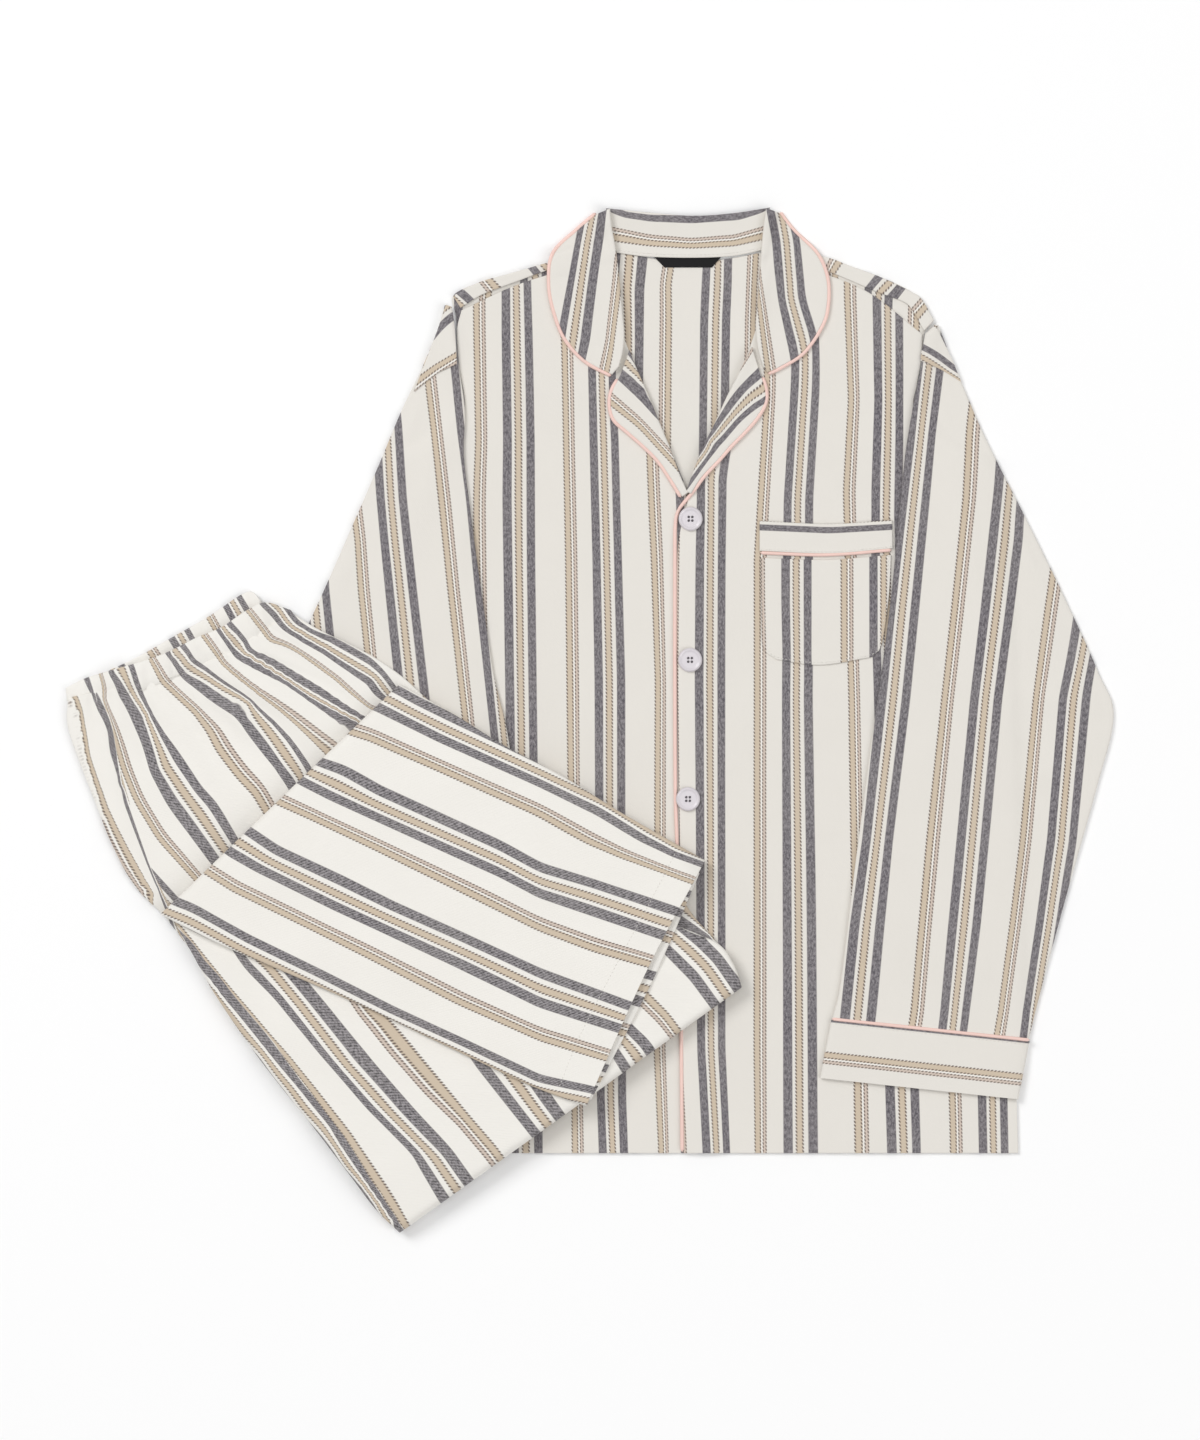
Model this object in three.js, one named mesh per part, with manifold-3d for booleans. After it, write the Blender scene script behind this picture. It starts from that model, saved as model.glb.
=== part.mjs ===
// A striped pyjama set laid flat. The top is spread face up with its sleeves beside it, and the
// trousers, halved lengthwise and folded twice across, lie over its lower left corner.
// Millimetres, +Z up, +Y towards the collar. The origin is under the middle of the set, on the surface.
import * as THREE from "three";
import { mergeVertices } from "three/addons/utils/BufferGeometryUtils.js";
import Module from "manifold-3d";

// Driving sizes
const TOP_LENGTH = 709; // from the fold of the collar to the hem
const CLOTH = 1.2; // one wall of brushed cotton
const GAP = 0.3; // between pieces at a seam, and between layers
const BAND_THICKNESS = 1.8; // the pocket's turned band
const LABEL_THICKNESS = 0.8;
const PIPING_GAP = 0.4; // under a piping, whose straight chords dip below its curve
const LAID_DOUBLE = 2.4; // a collar leaf or lapel, two walls sewn together
const LAPEL_GAP = 0.8; // under a lapel, which rises over the lap of the fronts
const SLEEVE_HEIGHT = 3; // a sleeve laid flat, two walls and a little air
const CUFF_HEIGHT = 3.6;
const SHOULDER_FOLD = 2.7; // the back rolled forward over the shoulder
const COLLAR_STAND = 4.8;
const PIPING_RADIUS = 1.4;
const CUFF_PIPING_RADIUS = 1.1;
const POCKET_PIPING_RADIUS = 1.1;
const PIPING_ROOM = 0.9; // between a piping's cord and the cloth's edge, where the cord's chords cut corners
const BUTTON = {
  radius: 9,
  height: 2.6,
  edge: 1.5, // the straight part of its side, below the rounded rim
  foot: 0.4, // the chamfer underneath
  rim: 1.4,
  dish: 0.7,
  holeRadius: 0.85,
  holeOffset: 1.9,
};
const SPREAD = 20; // a sheet stays up this far past the edge of what it lies on
const FALL = 30; // and comes down over this distance
const TROUSER_FALL = 60; // the same for the folded trousers, which are stiffer

// The plan, seen from straight above: one step is TOP_LENGTH / TOP_STEPS, x runs to the right and
// y down towards the hem. Every outline below is given in steps.
const TOP_STEPS = 945;
const STEP = TOP_LENGTH / TOP_STEPS;
const PLAN_CENTRE = { x: 588.8, y: 719.4 };
const toMm = (x, y) => new THREE.Vector2((x - PLAN_CENTRE.x) * STEP, (PLAN_CENTRE.y - y) * STEP);

// A row runs across a piece from edge a to edge b, through m where it is curved.
const row = (ax, ay, bx, by, mx = (ax + bx) / 2, my = (ay + by) / 2) => ({
  a: toMm(ax, ay),
  m: toMm(mx, my),
  b: toMm(bx, by),
});

// Columns of the front panels: a is the outer side, shoulder to side seam; b the neck and placket.
const FRONT_LEFT_ROWS = [
  row(461.5, 310.4, 600, 260, 520, 284),
  row(457, 331, 617, 318),
  row(459, 367, 635, 366),
  row(464, 412, 655, 412),
  row(440, 452, 673, 455),
  row(395, 478, 692, 505),
  row(384, 560, 706, 560),
  row(376, 700, 706, 700),
  row(371, 850, 707, 850),
  row(366, 1000, 708, 1000),
  row(362, 1153, 708, 1153),
];
const FRONT_RIGHT_ROWS = [
  row(922.5, 334.5, 779, 259.5, 862, 289),
  row(921, 360, 759, 320),
  row(917, 385, 743, 365),
  row(914.5, 412, 721, 411),
  row(938, 452, 699, 457),
  row(985, 478, 687, 504),
  row(996, 560, 677, 560),
  row(1004, 700, 677.5, 700),
  row(1009, 850, 680, 850),
  row(1014, 1000, 682, 1000),
  row(1018, 1153, 683.5, 1153),
];
// The shoulder folds: a is the outer fold, b the forward seam.
const SHOULDER_LEFT_ROWS = [
  row(596, 249, 600, 258),
  row(550, 262, 551, 269.6),
  row(510, 273.5, 516, 282),
  row(477.6, 283, 483, 294.5),
  row(453, 296, 460.5, 308),
];
const SHOULDER_RIGHT_ROWS = [
  row(783, 249, 779, 257),
  row(825, 257, 818, 268),
  row(850, 266, 846, 279),
  row(880, 277, 874, 291),
  row(911, 291.8, 903, 302),
  row(921.4, 299, 913, 311.5),
  row(934, 320.5, 924, 331.5),
];
// The back's edge from the neck round to the neck again, clockwise seen from above.
const BACK_OUTLINE = [
  [614, 254.5], [647, 259], [692, 260], [732, 258.5], [764, 252], [783, 249], [825, 257],
  [850, 266], [880, 277], [911, 291.8], [921.4, 299], [931, 316], [924, 335], [921, 360], [915, 393],
  [914.5, 412], [938, 452], [985, 478], [996, 560], [1004, 700], [1009, 850], [1014, 1000],
  [1018, 1153], [362, 1153], [366, 1000], [371, 850], [376, 700], [384, 560], [395, 478],
  [440, 452], [464, 412], [459, 367], [457, 331], [453, 296], [477.6, 283], [510, 273.5],
  [550, 262], [596, 249],
].map(([x, y]) => toMm(x, y));
// Sleeves: a is the armhole and then the inner fold, b the outer fold.
const SLEEVE_RIGHT_ROWS = [
  row(926, 336, 938, 324.5),
  row(923, 360, 953, 363),
  row(919, 385, 965, 391),
  row(917, 411, 978, 422),
  row(905, 455, 1000, 468),
  row(899, 515, 1030, 527),
  row(891, 595, 1067, 603),
  row(881, 675, 1098, 672),
  row(873, 730, 1113.5, 716),
  row(862, 810, 1096, 790),
  row(850, 905, 1067, 893),
  row(840, 985, 1040, 993),
  row(832.5, 1015.5, 1028.5, 1036.5),
];
const SLEEVE_LEFT_ROWS = [
  row(451.5, 311, 445, 305),
  row(454.5, 335, 436, 334),
  row(456.5, 367, 422, 368),
  row(460, 411, 401, 412),
  row(464, 455, 381, 460),
  row(471, 515, 355, 520),
  row(482, 595, 321, 597),
  row(494, 675, 287, 670),
  row(507, 730, 266.5, 716),
  row(518, 810, 284, 790),
  row(530, 905, 313, 893),
  row(540, 985, 340, 993),
  row(547.5, 1015.5, 351.5, 1036.5),
];
const CUFF_RIGHT_ROWS = [row(831, 1019.8, 1029.5, 1041), row(819.5, 1077.7, 1018, 1099)];
const CUFF_LEFT_ROWS = [row(549, 1019.8, 350.5, 1041), row(560.5, 1077.7, 362, 1099)];
// Collar leaves: a is the roll beside the neck, b the piped outer edge.
const LEAF_LEFT_ROWS = [
  row(610, 209, 597, 214),
  row(612, 228, 577, 231),
  row(616, 250, 554, 254),
  row(620, 285, 550, 284),
  row(623, 315, 555, 312),
  row(624.5, 335, 566, 339),
  row(623, 352, 586, 361),
  row(619, 367, 612, 375),
];
const LEAF_RIGHT_ROWS = [
  row(766, 208.5, 779, 213),
  row(763, 230, 793, 231),
  row(761, 252, 816, 254),
  row(759, 279, 826.5, 279),
  row(757, 306, 826.8, 306),
  row(755.5, 326, 821, 326),
  row(757, 345, 803, 352),
  row(760, 358, 780, 367),
  row(763, 367, 767, 373),
];
// The inside of the collar at the back of the neck: a is its fold, b the neck seam.
const COLLAR_BACK_ROWS = [
  row(606, 208.5, 613, 252.5),
  row(647, 212.5, 647, 256.8),
  row(692, 216, 692, 258),
  row(732, 213.5, 732, 256.3),
  row(770, 207.8, 764, 250),
];
// Lapels: a is the roll, b the piped edge.
const LAPEL_LEFT_ROWS = [
  row(629.5, 350, 619, 379.5),
  row(633, 360, 612.5, 391),
  row(639, 374, 610.5, 405),
  row(647, 392, 614.5, 419.5),
  row(654, 409, 627, 431),
  row(663, 431, 643, 445),
  row(672, 453, 658, 460),
  row(680, 475, 671, 479),
];
const LAPEL_RIGHT_ROWS = [
  row(752, 347, 761, 377),
  row(745, 360, 765, 389),
  row(739, 373, 765, 402),
  row(729, 392, 757, 417),
  row(721, 409, 743, 433),
  row(712, 429, 730, 446),
  row(703, 447, 719, 459),
  row(693, 472, 702, 477),
  row(686, 492, 691, 494),
];
const POCKET_ROWS = [
  row(761, 557.8, 891, 555, 826, 559.8),
  row(761.3, 600, 888.5, 598),
  row(763, 646, 881.5, 644),
  row(776, 659.5, 872, 657, 820, 665),
];
const POCKET_BAND_ROWS = [row(759.5, 521, 892, 520, 830, 524), row(759.5, 551, 892.5, 548.5, 829, 553.5)];
const LABEL_OUTLINE = [[653, 261.6], [728, 261.2], [713, 269], [663, 269]].map(([x, y]) => toMm(x, y));
const PLACKET_PIPING = [
  [684, 500], [676.5, 510], [673.3, 524], [672.8, 560], [672.8, 700], [673.4, 799], [675, 850], [678.5, 1000],
  [680, 1152],
];
const POCKET_PIPING = [[760, 555], [826, 557], [891.5, 552.2]];
const BUTTONS = [
  { name: "button_1", x: 690.5, y: 519 },
  { name: "button_2", x: 690, y: 660 },
  { name: "button_3", x: 688, y: 799 },
  { name: "button_4", x: 692, y: 940 },
];

// Trousers. Each layer is a flattened leg, and a layer above stands on the one below.
const LAYER_HEIGHTS = { upper: 6, turned: 5, lower: 5 };
const RIM = 6; // the rounded edge of a fold
const ON_TOP_CLEAR = 2.2; // spare room where the trousers lie over the top, for the piping and button there
const FILLING_GAP = 1; // between a trouser wall and the hidden layers inside it
const OPEN_END = 6; // how far a hollow is carried past a layer's open end
const SEAM_STEP = 0.6; // in steps, between the back and the front panel at the side seam
const WAIST_HEIGHT = 6.6;
const WAIST_BACK_HEIGHT = 3;
const GATHERS = { count: 12, depth: 0.9 };
// Waistband: a is the upper edge, b the gathered seam.
const WAIST_ROWS = [
  row(66, 688, 67, 701),
  row(86, 678, 92, 707),
  row(112, 670, 118, 699),
  row(140, 662, 148, 692),
  row(168, 652, 178, 679),
  row(196, 638, 208, 671),
  row(222, 627, 234, 658),
  row(246, 611, 258, 644),
  row(266, 602.5, 283, 628),
  row(291, 610, 299, 621),
];
const WAIST_BACK_ROWS = [
  row(108, 671, 116, 684),
  row(139.5, 656, 150, 676),
  row(171, 638, 184, 662),
  row(208, 617, 222, 642),
  row(247, 592, 258, 620),
  row(261, 600, 266, 612),
];
// The upper layer, waist to first fold: a is the outer side, b the fork side.
const UPPER_ROWS = [
  row(68, 698, 292, 613, 193, 667),
  row(68, 726, 318, 629, 208, 690),
  row(79, 760, 345, 642, 218, 712),
  row(96, 804, 374, 657),
  row(113, 846, 403, 677),
  row(135, 886, 438, 708),
  row(166, 918, 474, 731),
  row(196, 957, 516, 759),
  row(229, 1000, 560, 785),
  row(262, 1044, 607, 813),
  row(295, 1085, 652, 842),
  row(326, 1124, 686, 882),
  row(358, 1166, 706, 938),
  row(401, 1218, 727, 984),
];
// The turned layer, second fold to first fold.
const TURNED_ROWS = [
  row(176, 921, 408, 699),
  row(196, 957, 440, 714),
  row(216, 993, 500, 752),
  row(252, 1046, 580, 800),
  row(285, 1089, 655, 843),
  row(318, 1130, 694, 885),
  row(352, 1175, 718, 943),
  row(376, 1207, 733, 966),
  row(400, 1231, 740, 986),
];
// The lower leg on top, second fold to hem: a is its upper edge, b its lower edge.
const LOWER_ROWS = [
  row(400, 684, 161, 914),
  row(458, 716.5, 219.5, 943),
  row(505.5, 746, 292, 974),
  row(564.5, 777, 365.4, 1006),
  row(620.6, 812, 445, 1044),
  row(676.7, 844, 530, 1084),
  row(704.8, 860, 586, 1105, 648, 967),
];
// The other leg's hem shows past the top one's.
const UNDER_HEM = [
  [682, 862], [710, 875], [693, 910], [663, 966], [634, 1021], [609, 1070], [592, 1099], [574, 1091], [590, 1062],
  [614, 1012], [641, 958], [668, 900],
];
// The open end of the lower leg, clear of the layers inside it.
const HEM_ROOM = [[678, 830], [640, 900], [610, 960], [575, 1030], [545, 1110], [620, 1130], [740, 860]];
// The outer side seam of the upper layer, waist to second fold.
const SIDE_SEAM = [[91, 690], [92, 712], [103, 738], [117, 770], [131, 808], [143, 848], [154, 882], [166, 912],
  [176, 935], [190, 960]];
// Where the upper layer's own cloth ends, under the second fold, and where the turned layer's does.
const UPPER_CLOTH_END = { left: [186, 972], right: [470, 700] };
const TURNED_CLOTH = [
  [100, 1000], [190, 905], [240, 925], [400, 985], [560, 1052], [600, 985], [650, 880], [680, 830],
  [800, 830], [800, 1300], [300, 1300],
];
// Soft ridges that fall from the waist, in steps, with height and width in millimetres.
const WAIST_FOLDS = [
  { x0: 128, y0: 705, x1: 176, y1: 800, height: 1.6, width: 8 },
  { x0: 165, y0: 692, x1: 225, y1: 790, height: 2.2, width: 9 },
  { x0: 200, y0: 684, x1: 262, y1: 745, height: 2.0, width: 8 },
  { x0: 236, y0: 668, x1: 305, y1: 735, height: 1.6, width: 7 },
  { x0: 262, y0: 650, x1: 340, y1: 700, height: 1.4, width: 7 },
  { x0: 98, y0: 715, x1: 128, y1: 830, height: 1.2, width: 7 },
];

// The ground under the trousers: its reach in steps and the cells of its grid.
const GROUND = { left: 40, right: 770, top: 570, bottom: 1250, across: 24, along: 22 };
const BLOCK_DEPTH = 30; // how far cutting blocks reach below the surface

const COLOURS = {
  cream: new THREE.Color(0.86, 0.84, 0.8),
  trouserCream: new THREE.Color(0.9, 0.88, 0.84),
  hidden: new THREE.Color(0.7, 0.68, 0.65),
  piping: new THREE.Color(0.92, 0.7, 0.62),
  button: new THREE.Color(0.85, 0.83, 0.84),
  label: new THREE.Color(0.03, 0.03, 0.03),
};
const clothMaterial = new THREE.MeshStandardMaterial({ color: COLOURS.cream, roughness: 0.95, metalness: 0 });
const trouserMaterial = new THREE.MeshStandardMaterial({ color: COLOURS.trouserCream, roughness: 0.95 });
const hiddenMaterial = new THREE.MeshStandardMaterial({ color: COLOURS.hidden, roughness: 0.95 });
const pipingMaterial = new THREE.MeshStandardMaterial({ color: COLOURS.piping, roughness: 0.7 });
const buttonMaterial = new THREE.MeshStandardMaterial({ color: COLOURS.button, roughness: 0.3 });
const labelMaterial = new THREE.MeshStandardMaterial({ color: COLOURS.label, roughness: 0.8 });

const wasm = await Module();
wasm.setup();
const set = new THREE.Group();
const laid = new Map(); // name of a laid piece: its outline and the height of its upper face

function place(name, geometry, material) {
  const mesh = new THREE.Mesh(geometry, material);
  mesh.name = name;
  set.add(mesh);
}

function solidOf(geometry) {
  const bare = geometry.index ? geometry.clone() : geometry;
  bare.deleteAttribute("normal");
  bare.deleteAttribute("uv");
  const merged = mergeVertices(bare, 1e-3);
  return new wasm.Manifold(
    new wasm.Mesh({
      numProp: 3,
      vertProperties: new Float32Array(merged.attributes.position.array),
      triVerts: new Uint32Array(merged.index.array),
    }),
  );
}

function geometryOf(solid) {
  const { numProp, vertProperties, triVerts } = solid.getMesh();
  const count = vertProperties.length / numProp;
  const positions = new Float32Array(count * 3);
  for (let i = 0; i < count; i++) {
    positions.set(vertProperties.subarray(i * numProp, i * numProp + 3), i * 3);
  }
  return new THREE.BufferGeometry()
    .setAttribute("position", new THREE.BufferAttribute(positions, 3))
    .setIndex(new THREE.BufferAttribute(triVerts, 1));
}

// A smooth curve through the points, at a share t of the way from the first to the last.
function curveAt(points, t) {
  const last = points.length - 1;
  if (last === 1) return points[0].clone().lerp(points[1], t);
  const i = Math.min(Math.floor(t * last), last - 1);
  const f = t * last - i;
  const before = i > 0 ? points[i - 1] : points[0].clone().multiplyScalar(2).sub(points[1]);
  const after = i + 2 <= last ? points[i + 2] : points[last].clone().multiplyScalar(2).sub(points[last - 1]);
  const blend = (p0, p1, p2, p3) =>
    0.5 * (2 * p1 + (p2 - p0) * f + (2 * p0 - 5 * p1 + 4 * p2 - p3) * f * f + (3 * p1 - p0 - 3 * p2 + p3) * f ** 3);
  return new THREE.Vector2(
    blend(before.x, points[i].x, points[i + 1].x, after.x),
    blend(before.y, points[i].y, points[i + 1].y, after.y),
  );
}

// The point of a piece at shares u across and v along.
function pointAt(rows, u, v) {
  const [a, m, b] = ["a", "m", "b"].map((edge) => curveAt(rows.map((r) => r[edge]), v));
  return curveAt([a, m, b], u);
}

function distanceToSegment(p, a, b) {
  const along = b.clone().sub(a);
  const share = THREE.MathUtils.clamp(p.clone().sub(a).dot(along) / along.lengthSq(), 0, 1);
  return p.distanceTo(a.clone().addScaledVector(along, share));
}

// How far a point lies outside a closed outline, 0 inside it.
function distanceOutside(p, outline) {
  let inside = false;
  let nearest = Infinity;
  outline.forEach((a, i) => {
    const b = outline[(i + 1) % outline.length];
    if (a.y > p.y !== b.y > p.y && p.x < ((b.x - a.x) * (p.y - a.y)) / (b.y - a.y) + a.x) inside = !inside;
    nearest = Math.min(nearest, distanceToSegment(p, a, b));
  });
  return inside ? 0 : nearest;
}

// The height of what lies beneath a sheet: the named pieces' upper faces, eased down past their edges.
function supportAt(p, names, fall = FALL) {
  let height = 0;
  for (const name of names) {
    const { outline, topAt } = laid.get(name);
    const share = 1 - THREE.MathUtils.smoothstep(distanceOutside(p, outline), SPREAD, SPREAD + fall);
    if (share > 0) height = Math.max(height, share * topAt(p));
  }
  return height;
}

const outlineOf = (rows, steps = 24) => {
  const side = (edge, from, to) =>
    Array.from({ length: steps }, (_, i) => pointAt(rows, edge, from + ((to - from) * i) / (steps - 1)));
  return [...side(0, 0, 1), ...side(1, 1, 0)];
};

function register(name, outline, topAt) {
  laid.set(name, { outline, topAt });
}

// A closed solid between two faces given as grids of points, with its four sides closed.
function between(outer, inner) {
  const rowsCount = outer.length;
  const columns = outer[0].length;
  const positions = [...outer.flat(), ...inner.flat()].flatMap((p) => [p.x, p.y, p.z]);
  const at = (face, i, j) => face * rowsCount * columns + i * columns + j;
  const index = [];
  const quad = (a, b, c, d) => index.push(a, b, c, a, c, d);
  for (let i = 0; i + 1 < rowsCount; i++) {
    for (let j = 0; j + 1 < columns; j++) {
      quad(at(0, i, j), at(0, i, j + 1), at(0, i + 1, j + 1), at(0, i + 1, j));
      quad(at(1, i, j), at(1, i + 1, j), at(1, i + 1, j + 1), at(1, i, j + 1));
    }
  }
  for (let j = 0; j + 1 < columns; j++) {
    quad(at(0, 0, j), at(1, 0, j), at(1, 0, j + 1), at(0, 0, j + 1));
    quad(at(0, rowsCount - 1, j + 1), at(1, rowsCount - 1, j + 1), at(1, rowsCount - 1, j), at(0, rowsCount - 1, j));
  }
  for (let i = 0; i + 1 < rowsCount; i++) {
    quad(at(0, i + 1, 0), at(1, i + 1, 0), at(1, i, 0), at(0, i, 0));
    quad(at(0, i, columns - 1), at(1, i, columns - 1), at(1, i + 1, columns - 1), at(0, i + 1, columns - 1));
  }
  let volume = 0;
  const vertex = (k) => new THREE.Vector3().fromArray(positions, index[k] * 3);
  for (let k = 0; k < index.length; k += 3) volume += vertex(k).dot(vertex(k + 1).cross(vertex(k + 2)));
  if (volume < 0) index.reverse();
  return new THREE.BufferGeometry()
    .setAttribute("position", new THREE.Float32BufferAttribute(positions, 3))
    .setIndex(index);
}

const shares = (count) => Array.from({ length: count + 1 }, (_, i) => i / count);

// A wall that lies on the named pieces.
function sheet(name, rows, { across, along, thickness = CLOTH, on = [], gap = GAP }) {
  const topAt = (p) => supportAt(p, on) + gap + thickness;
  const grid = shares(along).map((v) => shares(across).map((u) => pointAt(rows, u, v)));
  const lift = (drop) => grid.map((line) => line.map((p) => new THREE.Vector3(p.x, p.y, topAt(p) - drop)));
  register(name, outlineOf(rows), topAt);
  return between(lift(0), lift(thickness));
}

// A flattened tube, cut along edge a: lower wall, round fold at edge b, upper wall.
function flatTube(name, rows, { across, along, height, on = [], gap = GAP }) {
  const radius = height / 2;
  const baseAt = (p) => {
    const support = supportAt(p, on);
    return support + Math.min(1, support) * gap;
  };
  const turns = [-60, -20, 20, 60].map((degrees) => THREE.MathUtils.degToRad(degrees));
  const stations = [
    ...shares(across).map((u) => ({ u, angle: -Math.PI / 2 })),
    ...turns.map((angle) => ({ u: 1, angle })),
    ...shares(across).reverse().map((u) => ({ u, angle: Math.PI / 2 })),
  ];
  const skin = (reach) =>
    shares(along).map((v) =>
      stations.map(({ u, angle }) => {
        const a = pointAt(rows, 0, v);
        const outward = pointAt(rows, 1, v).sub(a);
        const width = outward.length();
        outward.normalize();
        const p = a.addScaledVector(outward, u * (width - radius) + reach * Math.cos(angle));
        return new THREE.Vector3(p.x, p.y, baseAt(p) + radius + reach * Math.sin(angle));
      }),
    );
  register(name, outlineOf(rows), (p) => baseAt(p) + height);
  return between(skin(radius), skin(radius - CLOTH));
}

// A crowned solid whose flagged edges are rounded off. grow moves those edges out and lift raises the top.
function pillow(rows, { across, along, rims, baseAt, heightAt, grow = 0, lift = 0, sink = 0, open = 0 }) {
  const middle = rows.map((r) => r.m);
  let length = 0;
  middle.slice(1).forEach((p, i) => (length += p.distanceTo(middle[i])));
  const edgeLines = [0, 0.3, 1].map((share) => share * RIM);
  const ends = (size, count, startRim, endRim) => {
    const start = startRim ? -grow : -open;
    const end = size - (endRim ? -grow : -open);
    const from = startRim ? start + RIM : start;
    const to = endRim ? end - RIM : end;
    const inner = shares(count).map((s) => from + (to - from) * s);
    const first = startRim ? edgeLines.slice(0, -1).map((d) => start + d) : [];
    const last = endRim ? edgeLines.slice(0, -1).map((d) => end - d).reverse() : [];
    return [...first, ...inner, ...last].map((d) => ({
      share: d / size,
      rise: roundedRise(startRim ? d - start : RIM) * roundedRise(endRim ? end - d : RIM),
    }));
  };
  const alongLines = ends(length, along, rims.start, rims.end);
  const grid = alongLines.map(({ share: v, rise: vRise }) => {
    const a = pointBeyond(rows, 0, v);
    const b = pointBeyond(rows, 1, v);
    return ends(a.distanceTo(b), across, rims.a, rims.b).map(({ share: u, rise }) => {
      const p = pointBeyond(rows, u, v);
      const base = baseAt(p);
      return { p, low: base - sink, high: base + (heightAt(p, v) + lift) * (0.2 + 0.8 * rise * vRise) };
    });
  });
  return solidOf(
    between(
      grid.map((line) => line.map(({ p, high }) => new THREE.Vector3(p.x, p.y, high))),
      grid.map((line) => line.map(({ p, low }) => new THREE.Vector3(p.x, p.y, low))),
    ),
  );
}

const roundedRise = (distance) => Math.sqrt(1 - (1 - THREE.MathUtils.clamp(distance / RIM, 0, 1)) ** 2);

// pointAt, carried on in a straight line past the piece's own edges.
function pointBeyond(rows, u, v) {
  const inU = THREE.MathUtils.clamp(u, 0, 1);
  const inV = THREE.MathUtils.clamp(v, 0, 1);
  const p = pointAt(rows, inU, inV);
  const slope = 0.01;
  if (u !== inU) {
    const back = pointAt(rows, inU + (u < 0 ? slope : -slope), inV);
    p.addScaledVector(p.clone().sub(back), Math.abs(u - inU) / slope);
  }
  if (v !== inV) {
    const here = pointAt(rows, inU, inV);
    const back = pointAt(rows, inU, inV + (v < 0 ? slope : -slope));
    p.addScaledVector(here.sub(back), Math.abs(v - inV) / slope);
  }
  return p;
}

// An upright block over an outline given in steps, higher and lower than everything.
function block(points) {
  const shape = new THREE.Shape(points.map(([x, y]) => toMm(x, y)));
  const geometry = new THREE.ExtrudeGeometry(shape, { depth: 3 * BLOCK_DEPTH, bevelEnabled: false, steps: 1 });
  return solidOf(geometry.translate(0, 0, -BLOCK_DEPTH));
}

function flatPiece(outline, low, high) {
  const geometry = new THREE.ExtrudeGeometry(new THREE.Shape(outline), { depth: high - low, bevelEnabled: false });
  return geometry.translate(0, 0, low);
}

// A round cord along plan points, each lying on the named pieces.
const lying = (points, radius, on) =>
  points.map((p) => new THREE.Vector3(p.x, p.y, supportAt(p, on) + PIPING_GAP + radius));

function piping(name, path, radius, steps) {
  const section = new THREE.Shape(
    Array.from({ length: 6 }, (_, i) => {
      const angle = (i * Math.PI) / 3;
      return new THREE.Vector2(radius * Math.cos(angle), radius * Math.sin(angle));
    }),
  );
  const geometry = new THREE.ExtrudeGeometry(section, {
    extrudePath: new THREE.CatmullRomCurve3(path),
    steps,
    bevelEnabled: false,
  });
  place(name, geometry, pipingMaterial);
}

// The rows with edge b drawn in to leave room for a piping there, and the piping's own middle line.
function pipedEdge(coarseRows, radius, steps) {
  const rows = shares(steps).map((v) => ({ a: pointAt(coarseRows, 0, v), b: pointAt(coarseRows, 1, v) }));
  const acrossAt = (i) => {
    const along = rows[Math.min(i + 1, steps)].b.clone().sub(rows[Math.max(i - 1, 0)].b).normalize();
    return new THREE.Vector2(-along.y, along.x);
  };
  const half = rows[steps / 2];
  const side = Math.sign(acrossAt(steps / 2).dot(half.a.clone().sub(half.b)));
  const inward = rows.map((r, i) => acrossAt(i).multiplyScalar(side));
  const cloth = rows.map((r, i) => {
    const b = r.b.clone().addScaledVector(inward[i], 2 * radius + PIPING_ROOM);
    return { a: r.a, m: r.a.clone().lerp(b, 0.5), b };
  });
  return { cloth, line: rows.map((r, i) => r.b.clone().addScaledVector(inward[i], radius)) };
}

function addBack() {
  const panel = solidOf(flatPiece(BACK_OUTLINE, 0, CLOTH));
  const fold = (rows) => {
    const grid = shares(8).map((v) => shares(2).map((u) => pointAt(rows, u, v)));
    const lift = (z) => grid.map((line) => line.map((p) => new THREE.Vector3(p.x, p.y, z)));
    return solidOf(between(lift(SHOULDER_FOLD), lift(0)));
  };
  const back = panel.add(fold(SHOULDER_LEFT_ROWS)).add(fold(SHOULDER_RIGHT_ROWS));
  place("top_back", geometryOf(back), clothMaterial);
  register("top_back", BACK_OUTLINE, () => CLOTH);
  register("shoulder_left", outlineOf(SHOULDER_LEFT_ROWS), () => SHOULDER_FOLD);
  register("shoulder_right", outlineOf(SHOULDER_RIGHT_ROWS), () => SHOULDER_FOLD);
}

function addFronts() {
  const size = { across: 8, along: 20 };
  place("top_front_left", sheet("top_front_left", FRONT_LEFT_ROWS, { ...size, on: ["top_back"] }), clothMaterial);
  const right = sheet("top_front_right", FRONT_RIGHT_ROWS, { ...size, on: ["top_back", "top_front_left"] });
  place("top_front_right", right, clothMaterial);
}

function addSleeves() {
  const sides = [
    { side: "left", sleeve: SLEEVE_LEFT_ROWS, cuff: CUFF_LEFT_ROWS },
    { side: "right", sleeve: SLEEVE_RIGHT_ROWS, cuff: CUFF_RIGHT_ROWS },
  ];
  for (const { side, sleeve, cuff } of sides) {
    const on = ["top_back", "top_front_" + side];
    const sleeveSize = { across: 5, along: 16, height: SLEEVE_HEIGHT, on };
    place("sleeve_" + side, flatTube("sleeve_" + side, sleeve, sleeveSize), clothMaterial);
    const cuffSize = { across: 5, along: 3, height: CUFF_HEIGHT, on };
    place("cuff_" + side, flatTube("cuff_" + side, cuff, cuffSize), clothMaterial);
    const seam = [0.02, 0.25, 0.5, 0.75, 0.98].map((u) =>
      pointAt(sleeve, u, 1).lerp(pointAt(cuff, u, 0), 0.5),
    );
    piping("piping_cuff_" + side, lying(seam, CUFF_PIPING_RADIUS, on), CUFF_PIPING_RADIUS, 8);
  }
}

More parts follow.
